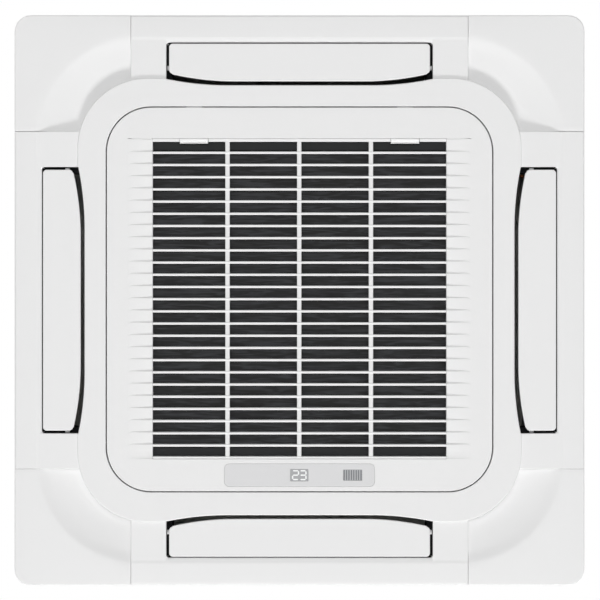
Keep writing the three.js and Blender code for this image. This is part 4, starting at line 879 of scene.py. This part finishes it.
def latchTab(x):
    # finger tab: a flat, a hollow for the fingertip and a lip, its ends leaning in
    face = -latch["face"]
    profile = np.array([(0, face + 7), (0, face + 0.7), (0.25, face + 0.2), (0.8, face),
                        (3.4, face), (4.1, face + 0.4), (4.9, face + 1.5), (5.7, face + 1.6),
                        (6.5, face + 0.9), (7.3, face + 0.6), (7.8, face + 0.9), (8.0, face + 1.6),
                        (8.0, face + 7)])
    span = np.array([-latch["half"] + 1.4, -latch["half"], latch["half"], latch["half"] - 1.4])
    ends = np.array([0.96, 1, 1, 0.96])
    middle = profile.mean(axis=0)
    y = latch["far"] + middle[0] + (profile[None, :, 0] - middle[0]) * ends[:, None]
    z = np.maximum(face, middle[1] + (profile[None, :, 1] - middle[1])
                   * np.array([0.9, 1, 1, 0.9])[:, None])
    walls = stack(x + span[:, None], y, z)[1:3]
    caps = [np.repeat(walls[k].mean(axis=0)[None], len(profile), axis=0) for k in (0, 1)]
    return surface(np.stack([caps[0], *walls, caps[1]]), closeColumns=True)


for name, x in (("left", -latch["at"]), ("right", latch["at"])):
    tongue, tongueNormals = roundedLoop(13, 1, 4, 3, (x, -294), 33)
    piece("latchTab_" + name,
          joined([latchTab(x), flatPlate(tongue, tongueNormals, -22.9, -20.7, 0.5)]), glossAbs,
          "latch_" + name, "latch_plastic", ("latch_" + name,), sharp=50)

outline, normals = roundedLoop(lens["halfX"], lens["corner"], 8, 4, (0, lens["y"]), lens["halfY"])
windowSpots = {"digit_window": (-0.4, 15.0, 10.0), "receiver_window": (88.3, 15.8, 9.0)}
windowCuts = [flatPlate(*roundedLoop(halfX + 0.2, 1.2, 4, 2, (x, lens["y"]), halfY + 0.2), cutLow,
                        cutHigh, 0.01, 1)
              for x, halfX, halfY in windowSpots.values()]
onDoor("displayLens", flatPlate(outline, normals, -29.0, -27.0, 0.35), milkyAcrylic, "lens_plastic",
       "display_lens", cut=joined(windowCuts))
for (node, (x, halfX, halfY)), material in zip(windowSpots.items(),
                                               (smokedAcrylic, receiverAcrylic)):
    pane = flatPlate(*roundedLoop(halfX, 1.0, 4, 2, (x, lens["y"]), halfY), -28.7, -23.0, 0.2)
    onDoor(node + "_pane", pane, material, node, node)


def digitSegments():
    # seven slim bars with pointed ends per digit; "23" reads upright from below
    wide, tall, thick = 4.9, 7.3, 2.3
    lit = {2: "abged", 3: "abgcd"}
    ends = {"a": ((-1, -2), (1, -2)), "b": ((1, -2), (1, 0)), "c": ((1, 0), (1, 2)),
            "d": ((-1, 2), (1, 2)), "e": ((-1, 0), (-1, 2)), "g": ((-1, 0), (1, 0))}
    parts = []
    for digit, middleX in ((2, -6.6), (3, 5.8)):
        for name in lit[digit]:
            a, b = (np.array(p) * [wide / 1.0, tall / 2.0] for p in ends[name])
            a, b = a + [middleX, lens["y"]], b + [middleX, lens["y"]]
            way = (b - a) / np.linalg.norm(b - a)
            a, b = a + way * 0.35, b - way * 0.35
            side = np.array([-way[1], way[0]]) * thick / 2
            loop = np.array([a, a + way * thick / 2 - side, b - way * thick / 2 - side, b,
                             b - way * thick / 2 + side, a + way * thick / 2 + side])
            parts.append(prism(loop, -28.9, -28.6))
    return joined(parts)


def receiverStripes():
    # slim bars across the receiver's window
    return joined([flatPlate(*roundedLoop(1.05, 0.4, 3, 2, (x, lens["y"]), 8.4), -28.9, -28.5, 0.1,
                             1)
                   for x in windowSpots["receiver_window"][0] + np.linspace(-14.0, 14.0, 8)])


onDoor("displayDigits", digitSegments(), digitGlow, "digit_window")
onDoor("receiverStripes", receiverStripes(), stripeGrey, "receiver_window")
print("display made")

# air filter

def netMaterial():
    # woven polypropylene net; the highlights and shade of its folds are painted into its colour as
    # light and dark streaks along X
    threadPitch = 1.508
    made = bpy.data.materials.new("wovenPpNet")
    made.use_nodes = True
    tree = made.node_tree
    shader = tree.nodes["Principled BSDF"]
    shader.inputs["Roughness"].default_value = 0.55
    place = addNode(tree, "ShaderNodeTexCoord")
    wavy = addNode(tree, "ShaderNodeMapping", {"Scale": (6, 60, 1)},
                   {"Vector": place.outputs["Object"]})
    # painted highlights and shade of the net's folds: a noise stretched along X, ramped from near
    # black to dark grey
    paintedFoldStreaks = addNode(tree, "ShaderNodeTexNoise", {"Scale": 3.0, "Detail": 4.0, "Distortion": 1.2},
                    {"Vector": wavy.outputs[0]})
    paintedFoldShade = addNode(tree, "ShaderNodeValToRGB", None, {"Fac": paintedFoldStreaks.outputs["Fac"]})
    for stop, (at, shade) in zip(paintedFoldShade.color_ramp.elements, ((0.44, "#050506"), (0.63, "#313235"))):
        stop.position = at
        stop.color = colour(shade)
    # a wave texture of scale 1 repeats every pi / 10
    threads = [addNode(tree, "ShaderNodeTexWave",
                       {"bands_direction": way, "Scale": math.pi / 10 / (threadPitch * mm)},
                       {"Vector": place.outputs["Object"]}) for way in ("X", "Y")]
    weave = addNode(tree, "ShaderNodeMath", {"operation": "MAXIMUM"},
                    {0: threads[0].outputs["Fac"], 1: threads[1].outputs["Fac"]})
    shade = addNode(tree, "ShaderNodeMapRange", {"To Min": 0.45, "To Max": 1.0},
                    {"Value": weave.outputs[0]})
    mixed = addNode(tree, "ShaderNodeMix",
                    {"data_type": "RGBA", "blend_type": "MULTIPLY", "Factor": 1.0})
    tree.links.new(paintedFoldShade.outputs[0], mixed.inputs[mixA])
    tree.links.new(shade.outputs[0], mixed.inputs[mixB])
    tree.links.new(mixed.outputs[mixOut], shader.inputs["Base Color"])
    bump = addNode(tree, "ShaderNodeBump", {"Strength": 0.6, "Distance": 0.3 * mm},
                   {"Height": weave.outputs[0]})
    tree.links.new(bump.outputs[0], shader.inputs["Normal"])
    return made


wovenNet = netMaterial()
x = np.linspace(-247.5, 247.5, 100)
y = np.linspace(-249.5, 245.5, 100)
ripple = 0.35 * np.sin(x[:, None] / 9 + 2.2 * np.sin(y[None] / 31)) * np.cos(y[None] / 17)
netLevel = -18.1 + 0.5 * ripple
onDoor("filterNet", surface(stack(x[:, None], y[None], netLevel), facing=(0, 0, -1)), wovenNet,
       "filter_net", "filter_net", wall=0.4)
softened("filter_frame", blackPp, 0.6)
print("filter made")

# hinge and fastenings of the panel

boltAt = 364.0


def doorBarrel(x):
    # half-round arch on the back of the door's plate, bored for the bail
    angle = np.radians(np.linspace(0, 180, 15))
    arch = lambda r: np.stack([hinge["y"] + r * np.cos(angle), hinge["z"] + r * np.sin(angle)],
                              axis=1)
    outer, inner = arch(hinge["barrel"]), arch(1.4)[::-1]
    outline = np.concatenate([outer, inner])
    loops = np.stack([stack(np.full(len(outline), x + k * hinge["width"] / 2), outline[:, 0],
                            outline[:, 1])
                      for k in (-1, 1)])
    caps = [np.stack([stack(np.full(15, x + k * hinge["width"] / 2), outer[:, 0], outer[:, 1]),
                      stack(np.full(15, x + k * hinge["width"] / 2), inner[::-1, 0],
                            inner[::-1, 1])]) for k in (-1, 1)]
    return joined([surface(loops, closeColumns=True), *[surface(cap) for cap in caps]])


def wireBail(x):
    # wire bent to a U: the bar that the barrel turns on, and two uprights with heads
    low, high = hinge["z"], hinge["bossTop"] + 1.6
    left, right = x - hinge["span"] / 2, x + hinge["span"] / 2
    path = bentPath([(left, hinge["y"], high), (left, hinge["y"], low), (right, hinge["y"], low),
                     (right, hinge["y"], high)], 2.0, 5)
    heads = [lathe([(0, hinge["bossTop"]), (hinge["head"], hinge["bossTop"]),
                    (hinge["head"], high - 0.5), (hinge["head"] - 0.5, high), (0, high)],
                   (at, hinge["y"], 0), 16) for at in (left, right)]
    return joined([tube(path, hinge["pin"], 12), *heads])


def hexBolt(x, y, top):
    # washer, hexagon head with its chamfer, and the shank up into the bracket
    washer = lathe([(0, top), (8, top), (8.3, top - 0.4), (8.3, top - 1.2), (8, top - 1.6),
                    (0, top - 1.6)],
                   (x, y, 0), 28)
    head = lathe([(0, top - 1.6), (5.6, top - 1.6), (5.6, top - 5.2), (4.8, top - 6), (0, top - 6)],
                 (x, y, 0), 6)
    shank = lathe([(0, top - 1), (2.4, top - 1), (2.4, top + 22), (0, top + 22)], (x, y, 0), 16)
    return joined([washer, head, shank])


onDoor("doorBarrels", joined([doorBarrel(-hinge["at"]), doorBarrel(hinge["at"])]), whiteAbs,
       "panel_plastic", "intake_grille")
bosses = [lathe([(0, hinge["bossTop"]), (hinge["boss"], hinge["bossTop"]),
                 (hinge["boss"], hinge["bossLow"] + 0.6), (hinge["boss"] - 0.6, hinge["bossLow"]),
                 (0, hinge["bossLow"])], (x + dx, hinge["y"], 0), 24)
          for x in (-hinge["at"], hinge["at"]) for dx in (-hinge["span"] / 2, hinge["span"] / 2)]
housed("bailBosses", joined(bosses), whiteAbs, "panel_plastic", "panel_frame")
for name, x in (("left", -hinge["at"]), ("right", hinge["at"])):
    housed("hinge_bail_" + name, wireBail(x), zincPlated, "galvanised_steel", "hinge_pin_" + name)
housed("panelBolts", joined([hexBolt(sx * boltAt, sy * boltAt, -3.2) for sx in (-1, 1)
                             for sy in (-1, 1)]), zincPlated, "galvanised_steel")

# casing

casing = dict(half=420.0, chamfer=140.0, top=264.0, beadHigh=2.0, beadHalf=5.0, beadCorner=16.0,
              screw=4.2, screwHigh=1.7)


def bead(side, u0, u1, z0, z1):
    # pressed bead: a low half-round carried along a rounded rectangle on one side of the casing
    loop, normals = roundedLoop((u1 - u0) / 2, min(casing["beadCorner"], (z1 - z0) / 2 - 0.5), 7, 5,
                                ((u0 + u1) / 2, (z0 + z1) / 2), (z1 - z0) / 2)
    across = np.concatenate([np.linspace(-1, 1, 9), [1, -1]]) * casing["beadHalf"]
    high = np.concatenate([0.5 + 0.5 * np.cos(np.linspace(-np.pi, np.pi, 9)),
                           [-0.2, -0.2]]) * casing["beadHigh"]
    spot = loop[:, None] + normals[:, None] * across[None, :, None]
    points = stack(spot[..., 0], casing["half"] + high[None], spot[..., 1])
    return turned(surface(points, closeRows=True, closeColumns=True), side)


def panHead(u, z, side):
    # pan-head screw, its dome turned about an axis across the casing's side
    r, h = casing["screw"], casing["screwHigh"]
    rise = np.linspace(0, np.pi / 2, 7)
    profile = [(0, -0.3), (r, -0.3),
               (r, 0.3)] + [(r * np.cos(a), 0.3 + (h - 0.3) * np.sin(a)) for a in rise[1:]]
    return turned(lathe(profile, (u, casing["half"], z), 20, "y"), side)


beads = {"front": [(-255, 255, 228, 248), (-250, -20, 62, 206), (20, 250, 62, 206)],
         "left": [(-255, 255, 234, 248), (-256, -92, 62, 214), (92, 256, 62, 214)],
         "back": [(-200, 255, 236, 248), (-190, 20, 62, 206), (50, 256, 62, 206)],
         "right": [(-255, 255, 228, 248), (-110, 30, 62, 206), (58, 176, 62, 206)]}
for quarter, side in enumerate(sides):
    softened("casing_side_" + side, galvanised, 0.4)
    heads = [panHead(u, 256, quarter) for u in (-262, -90, 90, 262)] + [panHead(-270, 30, quarter)]
    housed("pressedBeads_" + side, joined([bead(quarter, *spot) for spot in beads[side]]),
           galvanised, "galvanised_steel")
    housed("casingScrews_" + side, joined(heads), zincPlated, "galvanised_steel")


def casingTop():
    # octagons one inside the other: flange, step down to the panel, two raised ribs, flat centre
    half, cut = casing["half"], casing["chamfer"]
    corners = np.array([(half, -half + cut), (half, half - cut), (half - cut, half),
                        (-half + cut, half), (-half, half - cut), (-half, -half + cut),
                        (-half + cut, -half), (half - cut, -half)])
    ahead = np.roll(corners, -1, axis=0)
    share = np.linspace(0, 1, 9)[:-1, None]
    outline = np.concatenate([a + (b - a) * share for a, b in zip(corners, ahead)])
    inward = np.array([0, 0, 0.5, 1.2, 14, 15, 17.5, 18.5, 110, 112, 114.5, 121.5, 124, 126, 230,
                       232, 234.5, 241.5, 244, 246, 400, 420])
    level = np.array([-1.2, -0.5, -0.1, 0, 0, -0.15, -1.15, -1.3, -1.3, -1.15, 0, 0, -1.15, -1.3,
                      -1.3, -1.15, 0, 0, -1.15, -1.3, -1.3, -1.3])
    scale = 1 - inward / half
    points = stack(outline[:, None, 0] * scale, outline[:, None, 1] * scale, casing["top"] + level)
    return surface(points, closeRows=True, facing=(0, 0, 1))


housed("casingTop", casingTop(), galvanised, "galvanised_steel", "casing_top", wall=1.0)
for corner in cornerNames:
    softened("hanger_bracket_" + corner, galvanised, 0.5)
print("casing made")

# fittings on the casing

pipes = dict(gas=7.94, liquid=4.76, gasY=-252.0, gasZ=150.0, liquidY=-216.0, liquidZ=112.0,
             end=464.0, distributorY=-275.0, coilMid=289.0, headerY=-230.3, header=9.5,
             bendPitch=24.86, coilLow=45.3, coilEnd=-201.8)
spout = dict(x=244.0, z=205.0, r=16.0, bore=13.0, tip=-454.0, root=-396.0, flange=24.0)


def flareNut(radius, y, z):
    # hexagon with chamfered ends, bored for its pipe
    wide = 1.75 * radius
    profile = [(radius + 0.3, 444), (wide - 1.6, 444), (wide, 445.4), (wide, 458.5),
               (wide - 1.6, 460), (radius + 2.2, 460)]
    return closedLathe(profile, (0, y, z), 6, "x")


def bendHeight(k):
    # height of the coil's return bend k
    return pipes["coilLow"] + pipes["bendPitch"] * k


gasY, gasZ, liquidY, liquidZ = (pipes[key] for key in ("gasY", "gasZ", "liquidY", "liquidZ"))
headerY, coilMid, header = pipes["headerY"], pipes["coilMid"], pipes["header"]
gasLine = bentPath([(coilMid, headerY, gasZ), (334, gasY, gasZ), (pipes["end"], gasY, gasZ)], 16, 8)
stubEnd = pipes["coilEnd"] - 0.3
stubs = [lathe([(0, headerY), (3.6, headerY), (3.6, stubEnd), (0, stubEnd)],
               (coilMid, 0, bendHeight(k)), 14, "y")
         for k in (1, 3, 5, 7)]
low, high = bendHeight(1) - header, bendHeight(7) + header
dome = [(0, 0), (5, 0.6), (8.4, 3), (header, 6)]  # radius, distance from the end
headerBody = lathe([(r, low + h) for r, h in dome] + [(r, high - h) for r, h in dome[::-1]],
                   (coilMid, headerY, 0), 28)
housed("gasHeader", joined([headerBody, tube(gasLine, pipes["gas"], 28), *stubs]), drawnCopper,
       "copper_tube", "gas_header")
tapY = pipes["distributorY"]
liquidPath = bentPath([(269.3, tapY, liquidZ), (329.3, tapY, liquidZ), (384.3, liquidY, liquidZ),
                       (pipes["end"], liquidY, liquidZ)], 14, 8)
cone = lathe([(0, 246.3), (9.5, 246.3), (11, 248), (5.8, 270.3), (0, 270.3)], (0, tapY, liquidZ),
             28, "x")
feeders = []
for k in range(4):
    y, z = tapY + (k - 1.5) * 4, bendHeight(2 + k)
    path = [(248.1, y, liquidZ), (230.3, y, liquidZ), (230.3, -coilMid, z), (202.1, -coilMid, z)]
    feeders.append(tube(bentPath(path, 5, 5), 1.8, 10))
housed("liquidLine", joined([cone, tube(liquidPath, pipes["liquid"], 24), *feeders]), drawnCopper,
       "copper_tube", "liquid_pipe")
housed("flareNutGas", flareNut(pipes["gas"], gasY, gasZ), turnedBrass, "brass_nut", "flare_nut_gas",
       round=0.5, sharp=25)
housed("flareNutLiquid", flareNut(pipes["liquid"], liquidY, liquidZ), turnedBrass, "brass_nut",
       "flare_nut_liquid", round=0.4, sharp=25)
softened("pipe_cover_plate", galvanised, 0.4)


def plateScrews(name, at, root, out, quarters):
    # pan heads on a cover plate, from "root" to "out" as seen from the casing's middle
    profile = [(0, root), (3.6, root), (3.6, out - 1.4), (2.6, out - 0.4), (0, out)]
    heads = [turned(lathe(profile, (0, y, z), 18, "x"), quarters) for y, z in at]
    housed(name, joined(heads), zincPlated, "galvanised_steel")


plateScrews("coverScrews", [(y, z) for y in (-268, -200) for z in (97, 165)], 421.5, 423.6, 0)
r, bore, flange, tip, root = (spout[key] for key in ("r", "bore", "flange", "tip", "root"))
barb = lambda y: [(r, y), (r + 1.2, y - 0.6), (r + 1.2, y - 2.4), (r, y - 3)]
spoutProfile = [(bore, root), (r, root), (r, -420.3), (flange, -420.3), (flange, -422.7),
                (flange - 0.6, -423.3), (r, -423.3), *barb(-434), *barb(-443), (r, tip + 1),
                (r - 1, tip), (bore + 0.8, tip), (bore, tip + 1)]
housed("drainSpout", closedLathe(spoutProfile, (spout["x"], 0, spout["z"]), 40, "y"), fittingAbs,
       "white_fitting", "drain_spout", sharp=50)
housed("drainHose", tube(bentPath([(269.7, -312, 68), (244, -312, 68), (244, -312, 205),
                                   (244, -412, 205)], 20, 8), 12.6, 28), greyAbs, "grey_plastic",
       "drain_hose")
gland = [(7, 405), (11, 405), (11, 420.3), (15, 420.3), (16, 421.2), (16, 422.6), (15, 423.3),
         (8, 423.3), (7, 422.4)]
housed("cableGrommet", closedLathe(gland, (0, 150, 120), 36, "x"), blackRubber, "black_rubber",
       "cable_grommet", sharp=60)


def freshCover():
    # square plate that closes into a knock-out disc: rounded square loops turn into circles
    loop, normals = roundedLoop(70, 6, 6, 7)
    circle = roundOf(loop)
    levels = [(loop - normals * 0.8, 0.3), (loop, 0.3), (loop, 1.3), (loop - normals * 0.5, 1.8)]
    levels += [(circle * k, h) for k,
               h in ((50, 1.8), (48.4, 1.3), (47.4, 1.3), (46, 2.6), (45, 3.3), (30, 3.3),
                     (1, 3.3))]
    points = np.stack([stack(-420 - h, spot[:, 0], spot[:, 1] + 150) for spot, h in levels], axis=1)
    return surface(points, closeRows=True, facing=(-1, 0, 0))


housed("freshAirCover", freshCover(), galvanised, "galvanised_steel", "fresh_air_cover")
plateScrews("freshScrews", [(y, z) for y in (-62, 62) for z in (88, 212)], 421.4, 423.4, 2)
print("casing fittings made")

# fan, bell mouth, drive

fan = dict(r=235.0, wall=3.0, eye=155.0, blades=7, thick=4.0, sweep=-0.75, eyeLap=12.0)


def eased(corners, cutBack=6.0):
    # a profile's inner corners replaced by short curves
    path = bentPath([(r, 0, z) for r, z in corners], cutBack, 5)
    return [(p[0], p[2]) for p in path]


under = eased([(235, 229), (98, 229), (88, 190), (68, 169), (17, 163)], 8)
over = [(r + (2.2 if 60 < r < 110 else 0), z + fan["wall"]) for r, z in under][::-1]
backPlate = closedLathe(under + over)
hub = closedLathe([(6.3, 148.6), (6.9, 148), (15.2, 148), (16, 148.8), (16, 171), (6.3, 171)],
                  steps=40)
rim = eased([(155, 84), (155, 92), (169, 102), (235, 122)], 5)
shroud = closedLathe(rim
                     + [(r + (2.6 if z < 93 else 0.4), z + (0 if z < 90 else 3)) for r,
                        z in rim][::-1])


def fanBlade(k):
    # backward-curved blade with a rounded nose, between the shroud and the back plate
    t = np.linspace(0, 1, 15)
    radius = fan["eye"] - fan["eyeLap"] + (fan["r"] - 1 - fan["eye"] + fan["eyeLap"]) * t
    angle = fan["sweep"] * t + 2 * np.pi * k / fan["blades"]
    spot = radius[:, None] * spokes(angle)
    ahead = np.gradient(spot, axis=0)
    ahead /= np.linalg.norm(ahead, axis=1)[:, None]
    aside = np.stack([-ahead[:, 1], ahead[:, 0]], axis=1)
    half = fan["thick"] / 2 * np.sqrt(np.clip(1 - (2 * t - 1) ** 6, 0.04, 1))
    loop = np.concatenate([spot + aside * half[:, None], (spot - aside * half[:, None])[::-1]])
    reach = np.concatenate([radius, radius[::-1]])
    floorZ = np.interp(reach, [p[0] for p in rim], [p[1] for p in rim]) + 1.5
    floorZ = np.where(reach < fan["eye"], 104, np.maximum(floorZ, 104 + (reach - 169) * 0.3))
    middle, highZ = np.concatenate([spot, spot[::-1]]), 230.5
    caps = [(middle, floorZ), (loop, floorZ), (loop, highZ), (middle, highZ)]
    return surface(np.stack([stack(*outline.T, z) for outline, z in caps]), closeColumns=True)


piece("fanWheel", joined([backPlate, hub, shroud] + [fanBlade(k) for k in range(fan["blades"])]),
      greyAbs, "fan", "grey_plastic", ("fan_wheel",), sharp=34)
piece("fanShaft", lathe([(0, 136), (5.2, 136), (6, 136.8), (6, 199), (0, 199)], steps=28),
      zincPlated, "fan", "galvanised_steel", ("fan_shaft",))
nutProfile = [(6.3, 139.7), (10.2, 139.7), (11.4, 140.6), (11.4, 146.8), (10.2, 147.7),
              (6.3, 147.7)]
piece("fanNut", closedLathe(nutProfile, steps=6), turnedBrass, "fan", "brass_nut", ("fan_nut",),
      round=0.3, sharp=25)


def bellMouth():
    # square plate that flares into the round throat: rounded square loops turn into circles
    loop, normals = roundedLoop(256, 30, 10, 17)
    circle = roundOf(loop)
    levels = [(loop, 30.6), (loop - normals * 0.6, 30), (circle * 186, 30), (circle * 184.5, 31.2),
              (circle * 181, 31.2), (circle * 179.5, 30), (circle * 170, 30)]
    turn = np.linspace(0, np.pi / 2, 13)[1:]
    levels += [(circle * (170 - 24 * np.sin(a)), 54 - 24 * np.cos(a)) for a in turn]
    levels += [(circle * 146, 87.6), (circle * 146.4, 88)]
    return lofted(levels, (0, 0, -1))


housed("bellMouth", bellMouth(), greyAbs, "grey_plastic", "bell_mouth", wall=2.6, sharp=45)
motorProfile = [(7, 184.8), (14, 184.8), (15, 186), (58, 186.4), (74, 198), (78, 203), (78, 214),
                (79.5, 215), (79.5, 217), (78, 218), (78, 250), (76, 252.8), (7, 252.8)]
feet = [lathe([(0, 252.3), (11, 252.3), (9.4, 255), (9.4, 259.6), (11, 262.2), (0, 262.2)],
              (62 * math.cos(a), 62 * math.sin(a), 0), 24) for a in np.radians([90, 210, 330])]
housed("fanMotor", joined([closedLathe(motorProfile), *feet]), motorEnamel, "motor_case",
       "fan_motor", sharp=40)
print("fan and motor made")

# drainage and electrics

pumpLow = 40.3
pumpProfile = [(0, pumpLow), (17, pumpLow), (18, pumpLow + 1), (18, pumpLow + 10.5),
               (28, pumpLow + 14), (28, pumpLow + 42), (18, pumpLow + 47), (18, pumpLow + 69),
               (17, pumpLow + 70), (0, pumpLow + 70)]
nipple = lathe([(0, 270), (9.6, 270), (9.6, 308), (0, 308)], (0, -312, 68), 20, "x")
housed("drainPump", joined([lathe(pumpProfile, (308, -312, 0), 40), nipple]), fittingAbs,
       "white_fitting", "drain_pump", sharp=45)

# CAD solids with their edges broken by so many mm
insideNodes = {"control_box": (galvanised, 0.5), "control_box_lid": (galvanised, 0.5),
               "main_board": (boardLaminate, 0.3), "display_housing": (fittingAbs, 0.4),
               "panel_seal": (sealFoam, 0.8), "drain_pan": (whiteEps, 1.2),
               "drain_plug": (blackRubber, 0.6),
               **{"vane_motor_" + side: (greyAbs, 0.4) for side in sides},
               "insulation_liner": (whiteEps, 0), "heat_exchanger": (finStock, 0),
               "coil_end_right": (drawnCopper, 0), "coil_end_back": (drawnCopper, 0),
               "float_stem": (blackPp, 0.3), "float_ring": (fittingAbs, 0.3)}
for node, (material, width) in insideNodes.items():
    softened(node, material, width)
print("inside made")

# camera, light, floor

camera = bpy.data.objects.new("camera", bpy.data.cameras.new("camera"))
bpy.context.scene.collection.objects.link(camera)
camera.location = (0.8 * mm, -0.3 * mm, -3.029)
camera.rotation_euler = (math.pi, 0, 0)
camera.data.lens = 108.2
camera.data.clip_end = 900
bpy.context.scene.camera = camera
bpy.context.scene.view_settings.view_transform = "Standard"

world = bpy.data.worlds.new("studio")
bpy.context.scene.world = world
world.use_nodes = True
tree = world.node_tree
tree.nodes.clear()
plain = addNode(tree, "ShaderNodeBackground", {"Color": (1, 1, 1, 1), "Strength": 1.0})
ambient = addNode(tree, "ShaderNodeBackground", {"Color": (1, 1, 1, 1), "Strength": 0.3})
mixed = addNode(tree, "ShaderNodeMixShader", None,
                {0: directRays(tree), 1: ambient.outputs[0], 2: plain.outputs[0]})
addNode(tree, "ShaderNodeOutputWorld", None, {"Surface": mixed.outputs[0]})


def areaLight(name, place, target, size, power, mirrored=True):
    # a round lamp aimed at a target; "mirrored" says whether glossy surfaces show it
    lamp = bpy.data.objects.new(name, bpy.data.lights.new(name, "AREA"))
    bpy.context.scene.collection.objects.link(lamp)
    lamp.location = place
    lamp.rotation_euler = (Vector(target) - Vector(place)).to_track_quat("-Z", "Y").to_euler()
    lamp.data.shape = "DISK"
    lamp.data.size = size
    lamp.data.energy = power
    lamp.visible_glossy = mirrored


areaLight("keyFromDisplaySide", (0.65, 11.48, -6.11), (0, 0, 0), 2.86, 879)
areaLight("frontSoftbox", (-0.2, -1.5, -6.6), (0, 0, 0), 3.6, 209, mirrored=False)
areaLight("topSoftboxRight", (1.9, 1.8, 2.6), (0, 0, 0.15), 2.0, 50)
areaLight("topSoftboxLeft", (-2.1, -1.9, 2.2), (0, 0, 0.15), 2.0, 50)

floorMaterial = finish("paintedFloorPale", "#dcdcdc", 0.7, 0, 0.005, 300, 0.01, 4)
tree = floorMaterial.node_tree
pale = addNode(tree, "ShaderNodeMath", {"operation": "MULTIPLY", 1: 0.82}, {0: directRays(tree)})
white = addNode(tree, "ShaderNodeEmission", {"Color": (1, 1, 1, 1), "Strength": 1.0})
shown = addNode(tree, "ShaderNodeMixShader", None, {0: pale.outputs[0], 2: white.outputs[0],
                                                    1: tree.nodes["Principled BSDF"].outputs[0]})
tree.links.new(shown.outputs[0], tree.nodes["Material Output"].inputs["Surface"])
corners = np.array([[-300, -300, -8.0], [300, -300, -8.0], [300, 300, -8.0], [-300, 300, -8.0]])
floorMesh = bpy.data.meshes.new("floor")
floorMesh.from_pydata(corners.tolist(), [], [(0, 1, 2, 3)])
floorMesh.materials.append(floorMaterial)
floor = bpy.data.objects.new("floor", floorMesh)
bpy.context.scene.collection.objects.link(floor)
